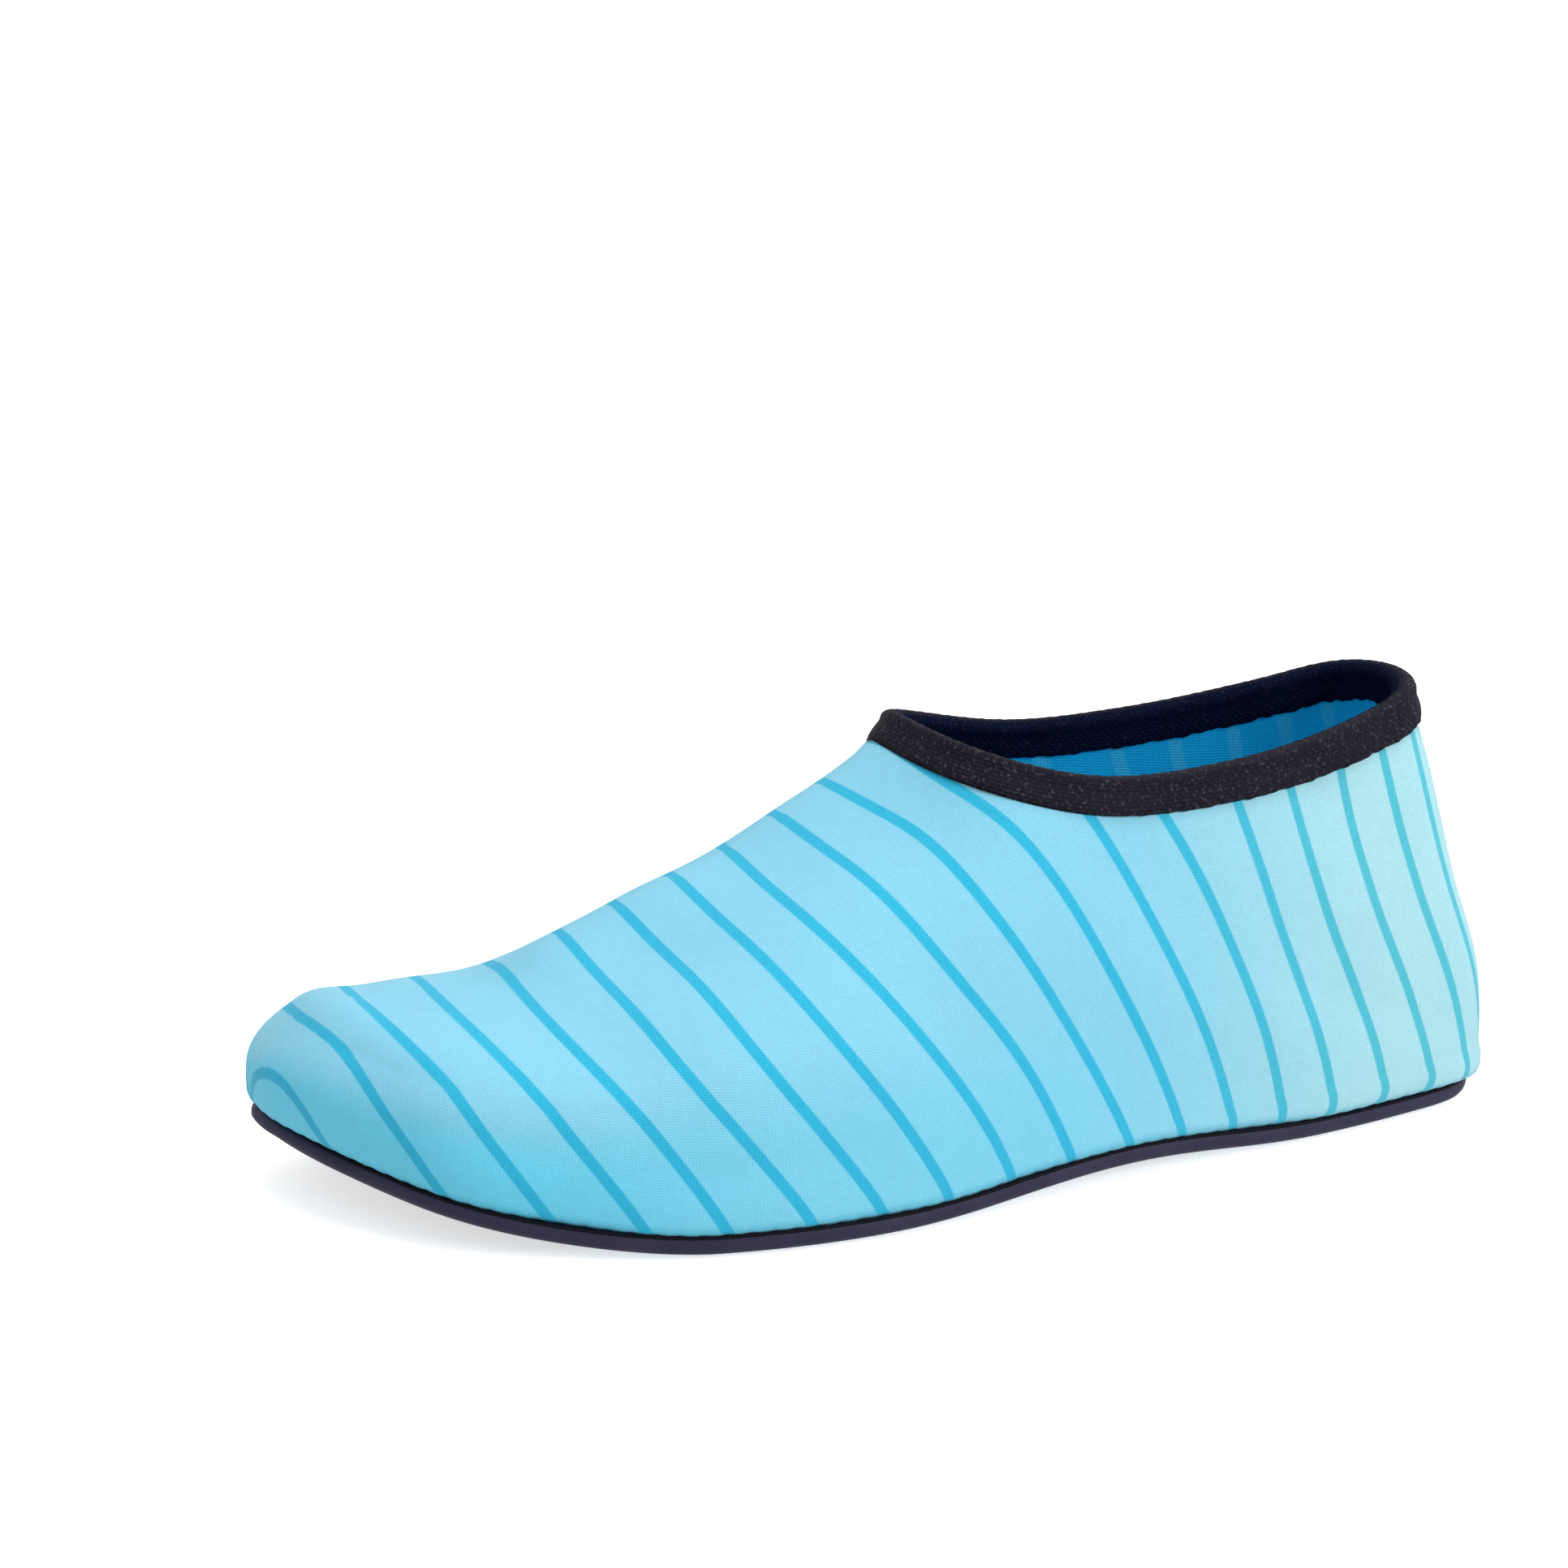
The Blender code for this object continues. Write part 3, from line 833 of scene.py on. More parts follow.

# Creases pressed or raised. side: LATERAL, MEDIAL or 0 for both. walk: share of LENGTH round the
# seam from the heel. up, long, wide and raised in metres, tilt in degrees from the seam's direction.
Crease = namedtuple("Crease", "side walk up long wide tilt raised")
CREASES = (
    Crease(LATERAL, 0.95, 0.013, 0.030, 0.0060, -8, -0.0007),
    Crease(LATERAL, 0.80, 0.011, 0.026, 0.0055, -4, -0.0006),
    Crease(LATERAL, 0.88, 0.024, 0.036, 0.0070, -12, 0.0005),
    Crease(MEDIAL, 0.92, 0.012, 0.028, 0.0055, -6, -0.0006),
    Crease(MEDIAL, 0.46, 0.020, 0.022, 0.0050, 35, -0.0005),
    Crease(MEDIAL, 0.40, 0.026, 0.020, 0.0040, 40, 0.0004),
    Crease(0, 0.20, 0.022, 0.020, 0.0045, 20, -0.0003),
    Crease(0, 0.00, 0.0016, 0.018, 0.0023, 0, 0.0030),
    Crease(0, 1.21, 0.0022, 0.030, 0.0036, 0, 0.0012),
)


def side_lines(side):
    """Places and angles of the upper's rows on one side, heel to toe. The rows beside the collar
    end at the throat, so they have none over the vamp."""
    depths = np.linspace(BINDING_WIDTH, 0, BAND_ROWS + 1)
    band = band_lines(collar_shares(COLLAR_COLUMNS), depths, side)
    foot_x, foot_angle = band[0]
    ridge_x = evenly_spaced(foot_x[-1], LENGTH, np.pi / 2, VAMP_COLUMNS + 1)[1:]
    seam_x = evenly_spaced(0.0, LENGTH, 0.0, COLLAR_COLUMNS + VAMP_COLUMNS)
    top_x = np.concatenate([foot_x, ridge_x])
    top_angle = np.concatenate([foot_angle, np.full(VAMP_COLUMNS, np.pi / 2)])
    shares = (np.arange(SIDE_ROWS + 1) / SIDE_ROWS) ** ROW_SPACING_POWER
    places = [seam_x + (top_x - seam_x) * share for share in shares]
    angles = [top_angle * share for share in shares]
    missing = np.full(VAMP_COLUMNS, np.nan)
    for x, angle in band[1:]:
        places.append(np.concatenate([x, missing]))
        angles.append(np.concatenate([angle, missing]))
    return np.array(places), np.array(angles)


def climbed(points):
    """Distance walked up each column of points from its foot."""
    steps = np.linalg.norm(np.diff(points, axis=0), axis=2)
    return np.concatenate([np.zeros((1, points.shape[1])), np.cumsum(steps, axis=0)])


def band_place(band, angle, side):
    """Where a band lies. In front of the collar its curves turn over at the crown, so that it runs straight
    on across it. Behind the throat both sides mirror each other."""
    curl = side if band.number <= CROWN_BANDS else LATERAL
    curves = band.bow * np.sin(2 * angle) + band.twist * np.sin(4 * angle)
    return band.foot + band.sweep * np.sin(angle) + curl * curves


def band_number(place_share, angle, side):
    """Which band of the print a point lies on, with the share of the way to the next."""
    number = np.full(place_share.shape, float(BANDS[-1].number))
    for front, behind in zip(BANDS[:-1], BANDS[1:]):
        start = band_place(front, angle, side)
        end = band_place(behind, angle, side)
        share = (start - place_share) / (start - end)
        between = (share >= 0) & (share <= 1)
        number = np.where(between, front.number + share * (behind.number - front.number), number)
    return number


def band_pitch(points, number):
    """How far apart the bands lie at each point, so that they can be drawn equally wide everywhere."""
    across_step, up_step = np.gradient(points, axis=1), np.gradient(points, axis=0)
    across_count, up_count = np.gradient(number, axis=1), np.gradient(number, axis=0)
    wide = (across_step**2).sum(axis=2)
    tall = (up_step**2).sum(axis=2)
    skew = (across_step * up_step).sum(axis=2)
    slope = tall * across_count**2 - 2 * skew * across_count * up_count + wide * up_count**2
    area = wide * tall - skew**2
    with np.errstate(divide="ignore", invalid="ignore"):
        pitch = np.sqrt(area / slope)
    return np.clip(np.nan_to_num(pitch, nan=USUAL_PITCH), NARROWEST_PITCH, WIDEST_PITCH)


def crown_distance(x, angle, side):
    """How far across the foot a point lies from the crown, less than 0 on the inner side."""
    half = np.maximum(along("half", x), 0) * BALL_WIDTH
    ridge = along("ridge", x) * BALL_WIDTH
    return (side * half - ridge) * np.cos(angle) ** SIDE_POWER


def crown_fold(place, across):
    """The soft fold along the crown, and the flatter cloth beside it on the inner side."""
    places = column_of(FOLD, "place")
    share = np.clip(place / LENGTH, places[0], places[-1])
    height = smooth_through(places, column_of(FOLD, "height"), share)
    drop = smooth_through(places, column_of(FOLD, "drop"), share)
    inner = np.maximum(-across, 0)
    flank = (1 - np.exp(-((inner / DROP_START) ** 2))) * np.exp(-((inner / DROP_REACH) ** 2))
    return height * np.exp(-((across / FOLD_WIDTH) ** 2)) - drop * flank


def cloth_relief(walk, up, place, across, side):
    """How far the cloth stands out of the last's own surface."""
    raised = -TUCK_DEPTH * np.exp(-((up / TUCK_HEIGHT) ** 2))
    raised += PUCKER_DEPTH * np.sin(math.tau * walk / PUCKER_PITCH) * np.exp(-up / PUCKER_FADE)
    raised += crown_fold(place, across)
    for wave in WAVES:
        phase = math.tau * (wave.walk * walk + wave.up * up) + wave.turn * (1 + side)
        raised += wave.height * np.sin(phase)
    for crease in CREASES:
        tilt = math.radians(crease.tilt)
        ahead = walk - crease.walk * LENGTH
        above = up - crease.up
        lengthwise = ahead * math.cos(tilt) + above * math.sin(tilt)
        crosswise = above * math.cos(tilt) - ahead * math.sin(tilt)
        shape = np.exp(-((lengthwise / crease.long) ** 2) - (crosswise / crease.wide) ** 2)
        on_side = 1.0 if crease.side == 0 else np.clip(0.5 + crease.side * side, 0, 1)
        raised += crease.raised * shape * on_side
    return raised


def eased(share):
    share = np.clip(share, 0, 1)
    return share * share * (3 - 2 * share)


def low_shade(place, up):
    """How much painted shade deepens the colour where the cloth turns under, most of all low round the toe.
    """
    toe = eased((place / LENGTH - TOE_SHADE_START) / TOE_SHADE_SPREAD)
    side = eased((place / LENGTH - SIDE_SHADE_START) / SIDE_SHADE_SPREAD)
    high = SIDE_SHADE_HIGH + (TOE_SHADE_HIGH - SIDE_SHADE_HIGH) * toe
    low = 1 - eased((up - SHADE_LOW) / (high - SHADE_LOW))
    return (SIDE_SHADE * side + (1 - SIDE_SHADE) * toe) * low


def add_upper(outside, lining):
    sides = {}
    for side in (LATERAL, MEDIAL):
        x, angle = side_lines(side)
        points = last_point(x, angle, side)
        band = band_number(x / LENGTH, angle, side)
        sides[side] = {
            "points": points,
            "walk": seam_walk(x),
            "up": climbed(points),
            "band": band,
            "pitch": band_pitch(points, band),
            "place": x,
            "across": crown_distance(x, angle, side),
            "side": np.full(x.shape, float(side)),
        }
        sides[side]["side"][:, [0, -1]] = 0.0
    joined = {key: around(sides[LATERAL][key], sides[MEDIAL][key]) for key in sides[LATERAL]}
    points = joined.pop("points")
    # painted shade: deeper colour low on the sides and round the toe
    joined["shade"] = low_shade(joined["place"], joined["up"])
    cloth = Cloth(*joined)
    cloth.grid(points, closed_columns=True, **joined)
    upper = cloth.make("knit_upper", [outside, lining], open_shell=True)
    mesh = upper.data
    raised = cloth_relief(*(read_value(mesh, kind) for kind in ("walk", "up", "place", "across", "side")))
    normals = read_vectors(mesh.vertex_normals, "vector")
    move_points(mesh, read_vectors(mesh.vertices, "co") + normals * raised[:, None])
    wall = upper.modifiers.new("wall", "SOLIDIFY")
    wall.thickness = UPPER_WALL
    wall.offset = -1
    wall.use_even_offset = True
    wall.material_offset = 1
    wall.material_offset_rim = 1
    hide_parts("upper")
    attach(upper, "root")


# The collar's tape.

TAPE_COLUMNS = 240
TAPE_REACH = 0.0076
TAPE_LINES = 16
FOLD_STEPS = 9
EDGE_WAVE = 0.00022
GATHER = 0.00007
THROAT_NARROW = 0.14  # how much narrower the tape is at the throat
NARROW_POWER = 2
THROAT_CALM = 0.75  # how much of the edge's wave is lost towards the throat
THROAT_THIN = 0.70  # how much closer the tape's face lies to the cloth at the throat
THIN_POWER = 6

# The tape's outline across: depth below the collar's edge and how far its face stands off the cloth.
TapeKnot = namedtuple("TapeKnot", "depth off")
TAPE_FACE = (
    TapeKnot(0.0064, 0.00055),
    TapeKnot(0.0063, 0.00085),
    TapeKnot(0.0060, 0.00110),
    TapeKnot(0.0052, 0.00125),
    TapeKnot(0.0042, 0.00132),
    TapeKnot(0.0031, 0.00126),
    TapeKnot(0.0023, 0.00114),
    TapeKnot(0.0018, 0.00112),
    TapeKnot(0.0013, 0.00126),
    TapeKnot(0.0007, 0.00140),
    TapeKnot(0.0002, 0.00146),
)
ROLL_OFF = 0.00146
ROLL_HEIGHT = 0.0016
ROLL_GATHER = 0.05
HIDDEN_DEPTHS = (0.0060, 0.0030)  # rows of the tape's faces that lie on the cloth
INNER_WAVE = 1.6  # how much wavier the edge is inside the shoe

# Unevenness along the tape. turns: waves in one round. start: in radians. drift: how far the waves
# wander, in radians. share: of the full height.
Ripple = namedtuple("Ripple", "turns start drift share")
EDGE_RIPPLES = (
    Ripple(61, 0.0, 0.0, 0.50),
    Ripple(97, 1.0, 0.0, 0.35),
    Ripple(23, 2.2, 0.0, 0.50),
)
GATHER_RIPPLES = (
    Ripple(134, 0.0, 1.5, 0.60),
    Ripple(79, 0.7, 0.0, 0.40),
)
DRIFT_TURNS = 9


def rippled(turn, ripples):
    wander = np.sin(DRIFT_TURNS * turn)
    return sum(row.share * np.sin(row.turns * turn + row.start + row.drift * wander) for row in ripples)


def loop_normals(rows):
    """Outward normals of a closed band of rows, worked out from its neighbours in both directions."""
    ahead = np.roll(rows, -1, axis=1) - np.roll(rows, 1, axis=1)
    down = np.gradient(rows, axis=0)
    normals = np.cross(ahead, down)
    normals /= np.linalg.norm(normals, axis=2, keepdims=True)
    if normals[0, rows.shape[1] // 4, 1] < 0:
        normals = -normals
    return normals


def below_edge(rows, depths, wanted):
    """A point of each column at its own wanted depth below the collar's edge."""
    step = depths[1] - depths[0]
    cell = np.clip((wanted / step).astype(int), 0, len(depths) - 2)
    share = (wanted / step - cell)[:, None]
    column = np.arange(rows.shape[1])
    return rows[cell, column] * (1 - share) + rows[cell + 1, column] * share


def add_tape(material):
    shares = collar_shares(TAPE_COLUMNS)
    depths = np.linspace(0, TAPE_REACH, TAPE_LINES)
    sides = []
    folds = []
    for side in (LATERAL, MEDIAL):
        lines = band_lines(shares, depths, side)
        sides.append(np.array([last_point(x, angle, side) for x, angle in lines]))
        folds.append(np.array([crown_fold(x, crown_distance(x, angle, side)) for x, angle in lines]))
    rows = around(*sides)
    rows = rows + loop_normals(rows) * around(*folds)[..., None]
    normals = loop_normals(rows)
    forward = np.concatenate([shares, shares[-2:0:-1]])
    narrow = 1 - THROAT_NARROW * forward**NARROW_POWER
    edge = rows[0]
    steps = np.linalg.norm(edge - np.roll(edge, 1, axis=0), axis=1)
    walk = np.cumsum(steps)
    count = len(edge)
    turn = math.tau * np.arange(count) / count
    up = rows[0] - rows[2]
    up /= np.linalg.norm(up, axis=1, keepdims=True)
    ripple = rippled(turn, EDGE_RIPPLES)
    gather = rippled(turn, GATHER_RIPPLES)
    section = []
    across = []
    inside = []

    def add_row(points, way_across, turned_in):
        section.append(points)
        across.append(np.broadcast_to(way_across, count))
        inside.append(turned_in)

    def off_cloth(depth, off):
        """A row at a depth below the collar's edge, moved off the cloth's outer face."""
        depth = np.broadcast_to(depth, count)
        outward = below_edge(normals, depths, depth)
        return below_edge(rows, depths, depth) + outward * np.reshape(off, (-1, 1))

    def face(knots, sign, wall, wavy, turned_in):
        for knot in knots:
            share = knot.depth / BINDING_WIDTH
            wave = EDGE_WAVE * ripple * share**2 * wavy * (1 - THROAT_CALM * forward)
            wanted = np.clip(knot.depth * narrow + wave, 0, TAPE_REACH)
            thin = 1 - THROAT_THIN * forward**THIN_POWER * share
            off = sign * (knot.off * thin + GATHER * gather * (1 + share)) - wall
            add_row(off_cloth(wanted, off), sign * wanted, turned_in)

    face(TAPE_FACE, 1, 0.0, 1.0, 0.0)
    reach = UPPER_WALL / 2 + ROLL_OFF
    for step in range(1, FOLD_STEPS + 1):
        turned = step / (FOLD_STEPS + 1)
        angle = np.pi * turned
        side_off = -UPPER_WALL / 2 + reach * np.cos(angle)
        lift = ROLL_HEIGHT * np.sin(angle) * (1 + ROLL_GATHER * gather)
        add_row(edge + normals[0] * side_off + up * lift[:, None], -reach * np.cos(angle), turned)
    face(TAPE_FACE[::-1], -1, UPPER_WALL, INNER_WAVE, 1.0)
    inner_off = UPPER_WALL + CLEARANCE
    for depth in HIDDEN_DEPTHS:
        add_row(off_cloth(depth, -inner_off), 0.0, 1.0)
    add_row(edge - normals[0] * inner_off + up * CLEARANCE, 0.0, 1.0)
    add_row(edge + normals[0] * CLEARANCE + up * CLEARANCE, 0.0, 0.0)
    for depth in reversed(HIDDEN_DEPTHS):
        add_row(off_cloth(depth, CLEARANCE), 0.0, 0.0)
    points = np.array(section)
    cloth = Cloth("walk", "up", "inside")
    cloth.grid(
        points,
        closed_rows=True,
        closed_columns=True,
        walk=np.broadcast_to(walk, points.shape[:2]),
        up=np.array(across),
        inside=np.array(inside)[:, None],
    )
    tape = cloth.make("collar_tape", [material])
    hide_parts("collar_binding")
    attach(tape, "root")


# The sole.

SEAM_INSET = 0.0018
SEAM_WIDTH = 0.0046
CLOTH_RAISED = 0.0005  # underside of the sole's cloth above the floor
SOLE_ACROSS = 26
TOP_ACROSS = 6
TOE_LIP = 0.0021  # how far the sole's edge stands forward round the toe
LIP_POWER = 20
LIP_ROUND = 0.5

# The sole's outline across, from its top to its underside: inset from the seam, height over the underside.
SoleKnot = namedtuple("SoleKnot", "inset height")
SOLE_SIDE = (
    SoleKnot(0.0050, 0.00380),
    SoleKnot(0.0012, 0.00380),
    SoleKnot(0.0004, 0.00378),
    SoleKnot(0.0001, 0.00366),
    SoleKnot(0.0000, 0.00340),
    SoleKnot(-0.0001, 0.00260),
    SoleKnot(0.0000, 0.00180),
    SoleKnot(0.0002, 0.00125),
    SoleKnot(0.0006, 0.00075),
    SoleKnot(0.0011, 0.00050),
    SoleKnot(0.0018, 0.00045),
)


def add_sole(side_material, cloth_material, seam_material):
    outline = sole_outline()
    cloth = Cloth()
    lip = TOE_LIP * np.clip(outline[:, 0] / LENGTH, 0, 1) ** LIP_POWER
    rings = []
    for knot in SOLE_SIDE:
        proud = lip * np.sin(np.pi * np.clip(knot.height / SOLE_THICKNESS, 0, 1)) ** LIP_ROUND
        rings.append(ring_at(outline, knot.inset - proud, knot.height))
    cloth.grid(np.array(rings), closed_columns=True, finish=0)
    inner = ring_at(outline, SEAM_INSET + SEAM_WIDTH, CLOTH_RAISED)
    cloth.grid(np.array([rings[-1], inner]), closed_columns=True, finish=2)
    cloth.disc(inner, SOLE_ACROSS, finish=1)
    cloth.disc(rings[0], TOP_ACROSS, finish=0)
    sole = cloth.make("outsole_body", [side_material, cloth_material, seam_material])
    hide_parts("outsole")
    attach(sole, "root")


def inside_loop(points, loop):
    """Which points lie inside a closed loop in plan."""
    x, y = points[:, 0, None], points[:, 1, None]
    x0, y0 = loop[:, 0], loop[:, 1]
    x1, y1 = np.roll(x0, -1), np.roll(y0, -1)
    spans = (y0 > y) != (y1 > y)
    rise = np.where(y1 == y0, 1e-12, y1 - y0)
    crossing = x0 + (y - y0) / rise * (x1 - x0)
    return (spans & (x < crossing)).sum(axis=1) % 2 == 1


DOT_PITCH = 0.00606
DOT_RADIUS = 0.00078
DOT_SIDES = 14
DOT_STEPS = 5
DOT_MARGIN = 0.0016  # clear of the flat seam
DOT_ROUND = 0.8
DOT_FIELD = 0.7  # how far the grid is laid out to each side, in shares of BALL_WIDTH
LIMIT_STEP = 4  # every how many points of the outline the grid's limit has one


def add_dots(material):
    """Clear grip dots in a square grid on the underside."""
    outline = sole_outline()
    limit = (outline + inward_of(outline) * (SEAM_INSET + SEAM_WIDTH + DOT_MARGIN))[::LIMIT_STEP]
    across = np.arange(-BALL_WIDTH * DOT_FIELD, BALL_WIDTH * DOT_FIELD, DOT_PITCH)
    lengthwise = np.arange(DOT_PITCH, LENGTH, DOT_PITCH)
    centres = np.array([(x, y) for x in lengthwise for y in across])
    centres = centres[inside_loop(centres, limit)]
    around_dot = math.tau * np.arange(DOT_SIDES) / DOT_SIDES
    cloth = Cloth()
    for x, y in centres:
        low = float(bottom_height(x))
        rings = []
        for step in range(DOT_STEPS + 1):
            angle = np.pi / 2 * step / DOT_STEPS
            radius = DOT_RADIUS * np.cos(angle)
            depth = np.full(DOT_SIDES, low + CLOTH_RAISED * (1 - np.sin(angle) ** DOT_ROUND))
            ring = (x + radius * np.cos(around_dot), y + radius * np.sin(around_dot), depth)
            rings.append(np.stack(ring, axis=1))
        lid = np.repeat(np.array([[x, y, low + CLOTH_RAISED]]), DOT_SIDES, axis=0)
        cloth.grid(np.array([lid] + rings), closed_columns=True)
    dots = cloth.make("grip_dots", [material])
    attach(dots, "root")


TAPER = 0.45  # a thread's thickness at its ends
TAPER_POWER = 6


def tubes(cloth, paths, radius, sides):
    """Short lengths of thread along the paths, thinner at their ends, with closed ends."""
    ahead = np.gradient(paths, axis=1)
    ahead /= np.linalg.norm(ahead, axis=2, keepdims=True)
    aside = np.cross(ahead, np.array([0.0, 0.0, 1.0]))
    aside /= np.linalg.norm(aside, axis=2, keepdims=True)
    above = np.cross(aside, ahead)
    share = np.linspace(-1, 1, paths.shape[1])
    thick = radius * (1 - (1 - TAPER) * share**TAPER_POWER)
    turn = math.tau * np.arange(sides) / sides
    for path, side_way, up_way in zip(paths, aside, above):
        ring = (
            path[:, None]
            + side_way[:, None] * (thick[:, None] * np.cos(turn))[..., None]
            + up_way[:, None] * (thick[:, None] * np.sin(turn))[..., None]
        )
        start, end = (np.repeat(tip, sides, axis=1) for tip in (path[:1, None], path[-1:, None]))
        cloth.grid(np.concatenate([start, ring, end]), closed_columns=True)


THREAD = 0.00021
THREAD_SIDES = 6
SEAM_ROUND = 0.60  # about the whole way round the sole
ZIGZAG_PITCH = 0.0019
ZIGZAG_SKEW = 0.9
ZIGZAG_SUNK = 0.00005
ZIGZAG_ARCH = 0.00012
STITCH_LENGTH = 0.0026
STITCH_START = 0.12  # shares of the way from one stitch's hole to the next
STITCH_END = 0.88
STITCH_INSET = 0.0004
STITCH_SUNK = 0.0001


def sew(cloth, pitch, inset, share, sunk):
    """A short thread at every pitch round the sole, from its inset and its share of the way ahead."""
    outline = sole_outline(2 * round(SEAM_ROUND / pitch / 2))
    inward = inward_of(outline)[:, None]
    ahead = (np.roll(outline, -1, axis=0) - outline)[:, None]
    flat = outline[:, None] + inward * np.reshape(inset, (-1, 1)) + ahead * share[:, None]
    level = bottom_height(flat[..., 0]) + CLOTH_RAISED - sunk
    tubes(cloth, np.concatenate([flat, level[..., None]], axis=2), THREAD, THREAD_SIDES)


def add_flat_seam(material):
    """Zigzag threads of the flat seam round the underside, and the stitched line inside it."""
    cloth = Cloth()
    share = np.linspace(0, 1, 6)
    arched = ZIGZAG_SUNK + ZIGZAG_ARCH * np.sin(np.pi * share)
    for crossed in (share, 1 - share):
        sew(cloth, ZIGZAG_PITCH, SEAM_INSET + SEAM_WIDTH * crossed, ZIGZAG_SKEW * share, arched)
    stitch = np.linspace(STITCH_START, STITCH_END, 4)
    sew(cloth, STITCH_LENGTH, SEAM_INSET + SEAM_WIDTH + STITCH_INSET, stitch, STITCH_SUNK)
    seam = cloth.make("flat_seam_threads", [material])
    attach(seam, "root")


CORD_INSET = 0.00012
CORD_SWELL = 0.22
CORD_RADIUS = 0.00030
CORD_TWIST = 0.0013
CORD_SIDES = 10
CORD_COLUMNS = 1500


def add_seam_cord(material):
    """The black overlocked edge where the upper meets the sole."""
    outline = sole_outline(CORD_COLUMNS)
    centre = ring_at(outline, CORD_INSET, SOLE_THICKNESS + CLEARANCE / 2)
    walk = np.cumsum(np.linalg.norm(outline - np.roll(outline, 1, axis=0), axis=1))
    outward = np.column_stack([-inward_of(outline), np.zeros(len(outline))])
    up = np.array([0.0, 0.0, 1.0])
    rings = []
    for side in range(CORD_SIDES):
        turn = math.tau * side / CORD_SIDES
        thick = CORD_RADIUS * (1 + CORD_SWELL * np.sin(math.tau * walk / CORD_TWIST + turn))
        rings.append(centre + (outward * np.cos(turn) + up * np.sin(turn)) * thick[:, None])
    cloth = Cloth()
    cloth.grid(np.array(rings), closed_rows=True, closed_columns=True)
    cord = cloth.make("seam_overlock", [material])
    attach(cord, "root")


BED_ACROSS = 30
BED_LOW_ACROSS = 4
BED_DISH = 0.0005
BED_LEAST_WIDTH = 0.004
BED_TOP_SHARE = 0.95  # what lies above this share of its thickness is its top
NO_BAND = 0.5  # halfway between two bands of the print

# The footbed's edge. inset: from its side. share: of its thickness.
BedKnot = namedtuple("BedKnot", "inset share")
BED_EDGE = (
    BedKnot(0.0000, 0.00),
    BedKnot(0.0000, 0.60),
    BedKnot(0.0002, 0.85),
    BedKnot(0.0006, 1.00),
)


def add_insole(material):
    outline = sole_outline()
    low = SOLE_THICKNESS + CLEARANCE
    edge = UPPER_WALL + INSOLE_MARGIN
    cloth = Cloth("walk", "up", "band", "pitch")
    rings = [ring_at(outline, edge + knot.inset, low + INSOLE_THICKNESS * knot.share) for knot in BED_EDGE]
    cloth.grid(np.array(rings), closed_columns=True)
    cloth.disc(rings[0], BED_LOW_ACROSS)
    cloth.disc(rings[-1], BED_ACROSS)
    bed = cloth.make("footbed", [material])
    mesh = bed.data
    points = read_vectors(mesh.vertices, "co")
    local = points - SHIFT
    place = np.clip(local[:, 0], 0, LENGTH)
    width = np.maximum(along("half", place) * BALL_WIDTH, BED_LEAST_WIDTH)
    inner = 1 - np.clip(((local[:, 1] - along("centre", place) * BALL_WIDTH) / width) ** 2, 0, 1)
    on_top = local[:, 2] > bottom_height(local[:, 0]) + low + INSOLE_THICKNESS * BED_TOP_SHARE
    points[:, 2] -= BED_DISH * inner * on_top
    move_points(mesh, points)
    write_value(mesh, "walk", points[:, 0])
    write_value(mesh, "up", points[:, 1])
    write_value(mesh, "band", np.full(len(points), NO_BAND))
    write_value(mesh, "pitch", np.full(len(points), USUAL_PITCH))
    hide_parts("insole")
    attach(bed, "root")


# Camera, floor and light.

PICTURE_WIDTH = 1932
FOCAL = 4530
SENSOR = 36.0
CAMERA_TURN = 21.75  # degrees from square on to the shoe's outer side, towards the toe
CAMERA_ELEVATION = 13.4
CAMERA_ROLL = -0.15
CAMERA_DISTANCE = 0.69184
CAMERA_TARGET = (0.14875, 0.0, 0.07464)
FLOOR_WHITE = (0.90, 0.90, 0.91, 1.0)
FLOOR_GLOW = 0.60
FLOOR_REACH = 12.0
STUDIO_LIGHT = 0.68
LOW_LIGHT = 0.80  # what comes up through the table
HORIZON = 0.3  # how far above and below the horizon the two blend
WHITE = (1.0, 1.0, 1.0, 1.0)
LAMP_AIM = (0.0, 0.0, 0.03)
Lamp = namedtuple("Lamp", "name place size energy")
LAMPS = (
    Lamp("overhead", (-0.15, 0.10, 1.30), 1.0, 9.0),
    Lamp("side_key", (-0.80, 1.10, 0.60), 0.7, 9.0),
)


def add_camera():
    turn, rise, roll = (math.radians(a) for a in (CAMERA_TURN, CAMERA_ELEVATION, CAMERA_ROLL))
    back = Vector((math.sin(turn) * math.cos(rise), math.cos(turn) * math.cos(rise), math.sin(rise)))
    right = Vector((-math.cos(turn), math.sin(turn), 0.0))
    up = back.cross(right)
    rolled_right = right * math.cos(roll) + up * math.sin(roll)
    rolled_up = up * math.cos(roll) - right * math.sin(roll)
    data = bpy.data.cameras.new("photo_view")
    data.sensor_width = SENSOR
    data.lens = FOCAL / PICTURE_WIDTH * SENSOR
    data.clip_start = 0.01
    data.clip_end = 100.0
    camera = new_object("photo_view", data)
    place = Vector(CAMERA_TARGET) + Vector(SHIFT) + back * CAMERA_DISTANCE
    facing = Matrix((rolled_right, rolled_up, back)).transposed().to_4x4()
    camera.matrix_world = Matrix.Translation(place) @ facing
    bpy.context.scene.camera = camera


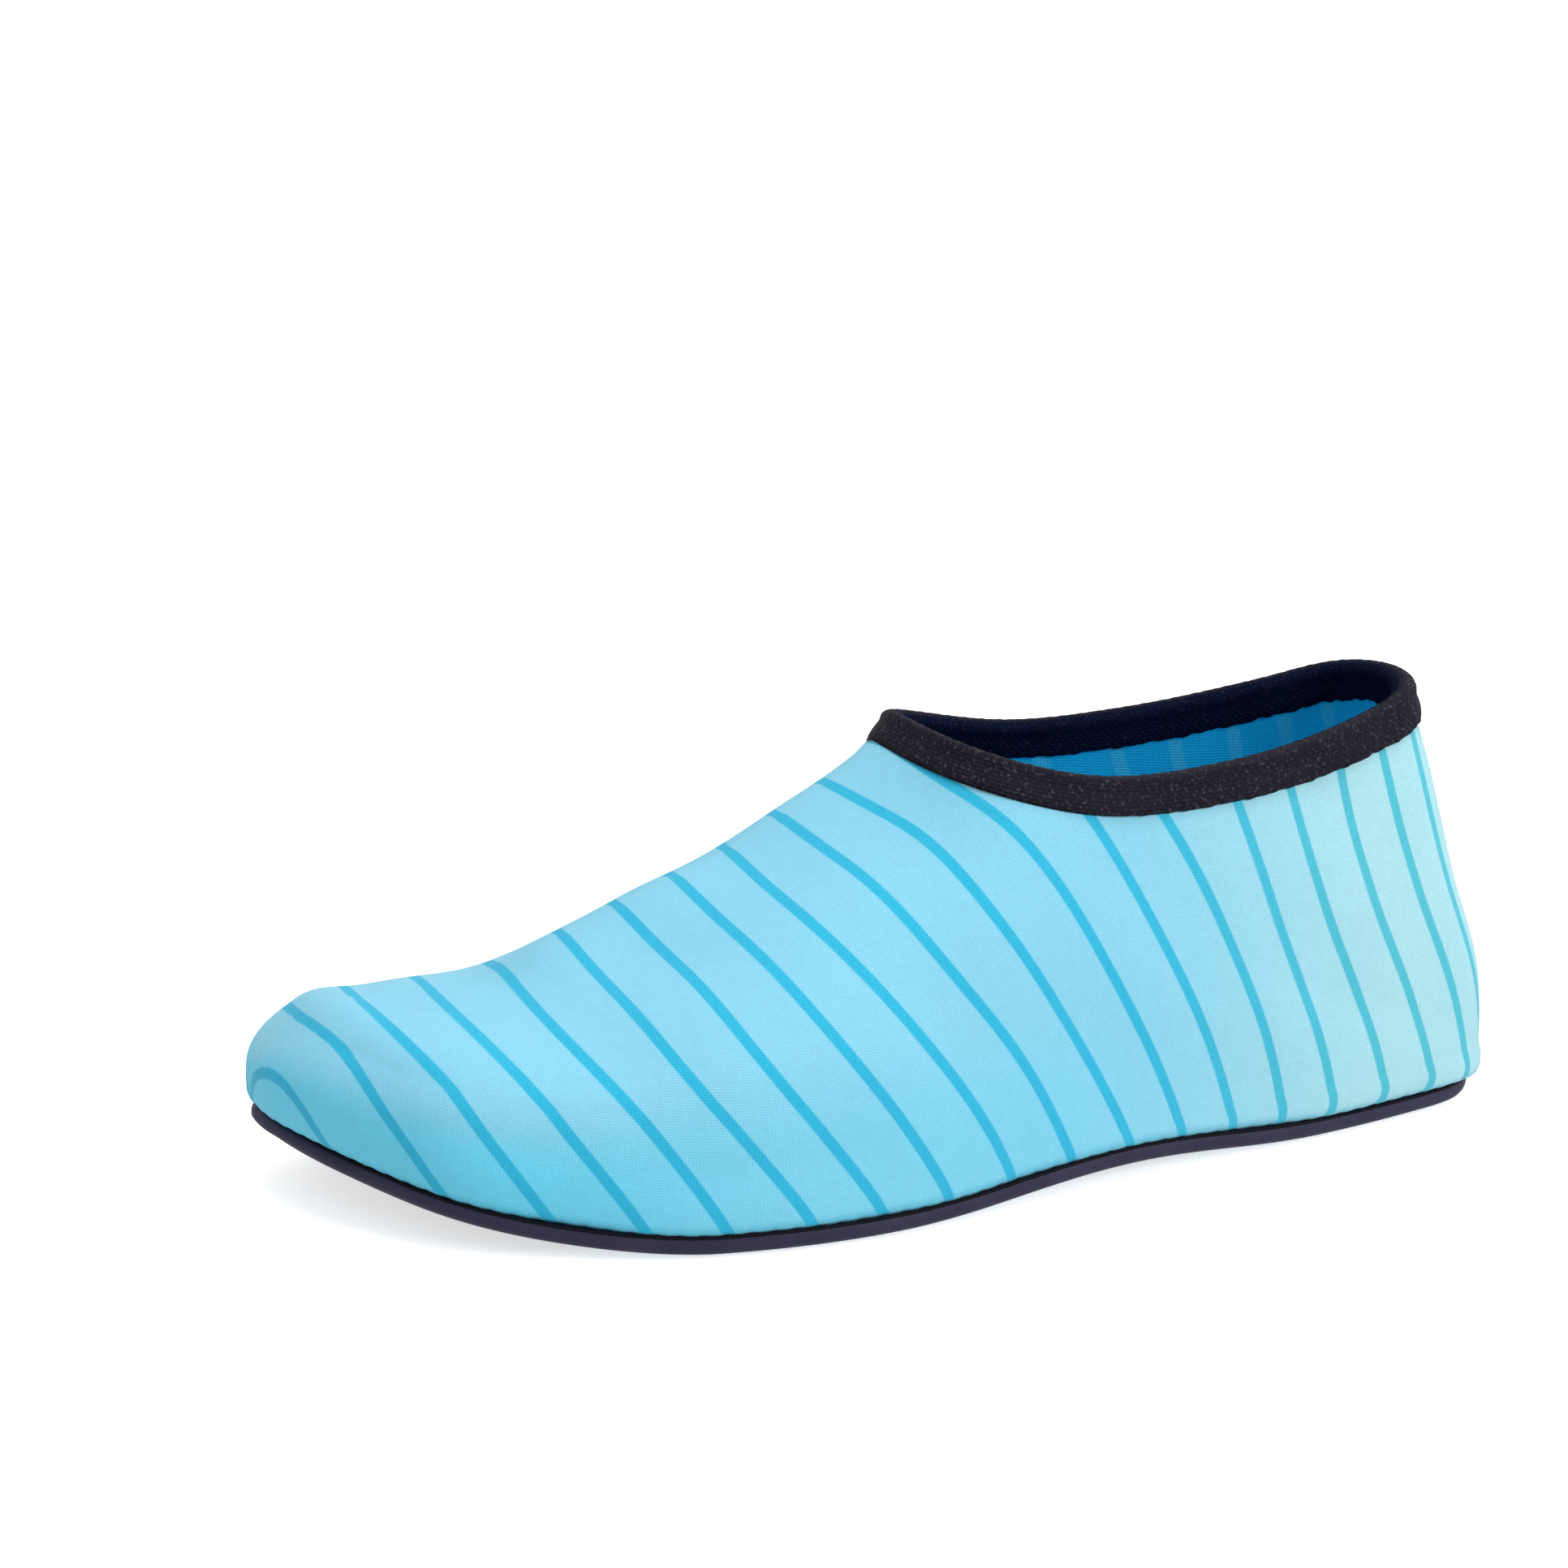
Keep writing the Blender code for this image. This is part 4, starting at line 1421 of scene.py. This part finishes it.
def floor_finish():
    """White glass table, lit from below. Only the eye sees it, and only from above: light passes
    through to the sole, which can so be looked at from below."""
    material, tree, shader = new_material("pale_floor")
    seen = add_node(tree, "ShaderNodeLightPath").outputs["Is Camera Ray"]
    inputs = {
        "Base Color": FLOOR_WHITE,
        "Roughness": 1.0,
        "Specular IOR Level": 0.0,
        "Emission Color": WHITE,
        "Emission Strength": FLOOR_GLOW,
    }
    give(tree, shader, inputs)
    clear = add_node(tree, "ShaderNodeBsdfTransparent")
    above = calc(tree, "SUBTRACT", 1.0, add_node(tree, "ShaderNodeNewGeometry").outputs["Backfacing"])
    shown = times(tree, above, seen)
    blend = add_node(tree, "ShaderNodeMixShader", {0: shown, 1: clear.outputs[0], 2: shader.outputs[0]})
    tree.links.new(blend.outputs[0], tree.nodes["Material Output"].inputs["Surface"])
    return material


def add_floor():
    corners = [(-1, -1), (1, -1), (1, 1), (-1, 1)]
    mesh = bpy.data.meshes.new("floor")
    mesh.from_pydata([(x * FLOOR_REACH, y * FLOOR_REACH, 0.0) for x, y in corners], [], [(0, 1, 2, 3)])
    mesh.materials.append(floor_finish())
    floor = new_object("floor", mesh)


def add_lamp(lamp):
    data = bpy.data.lights.new(lamp.name, "AREA")
    data.shape = "DISK"
    data.size = lamp.size
    data.energy = lamp.energy
    light = new_object(lamp.name, data)
    light.location = lamp.place
    light.rotation_euler = (Vector(LAMP_AIM) - Vector(lamp.place)).to_track_quat("-Z", "Y").to_euler()


def add_studio():
    world = bpy.data.worlds.new("studio")
    bpy.context.scene.world = world
    world.use_nodes = True
    tree = world.node_tree
    background = tree.nodes["Background"]
    seen = add_node(tree, "ShaderNodeLightPath").outputs["Is Camera Ray"]
    way = add_node(tree, "ShaderNodeTexCoord").outputs["Generated"]
    height = add_node(tree, "ShaderNodeSeparateXYZ", {0: way}).outputs[2]
    light = scaled(tree, smooth_step(tree, height, -HORIZON, HORIZON), STUDIO_LIGHT - LOW_LIGHT, LOW_LIGHT)
    give(tree, background, {"Color": WHITE, "Strength": calc(tree, "MAXIMUM", seen, light)})
    for lamp in LAMPS:
        add_lamp(lamp)
    bpy.context.scene.view_settings.view_transform = "Standard"


KNIT = aqua_knit()
LINING = blue_lining()
TAPE = black_tape()
SOLE = dark_sole()
THREADS = black_thread()
add_camera()
add_studio()
add_floor()
add_upper(KNIT, LINING)
add_tape(TAPE)
add_sole(SOLE, sole_cloth(), seam_cloth())
add_dots(clear_rubber())
add_flat_seam(THREADS)
add_seam_cord(THREADS)
add_insole(LINING)
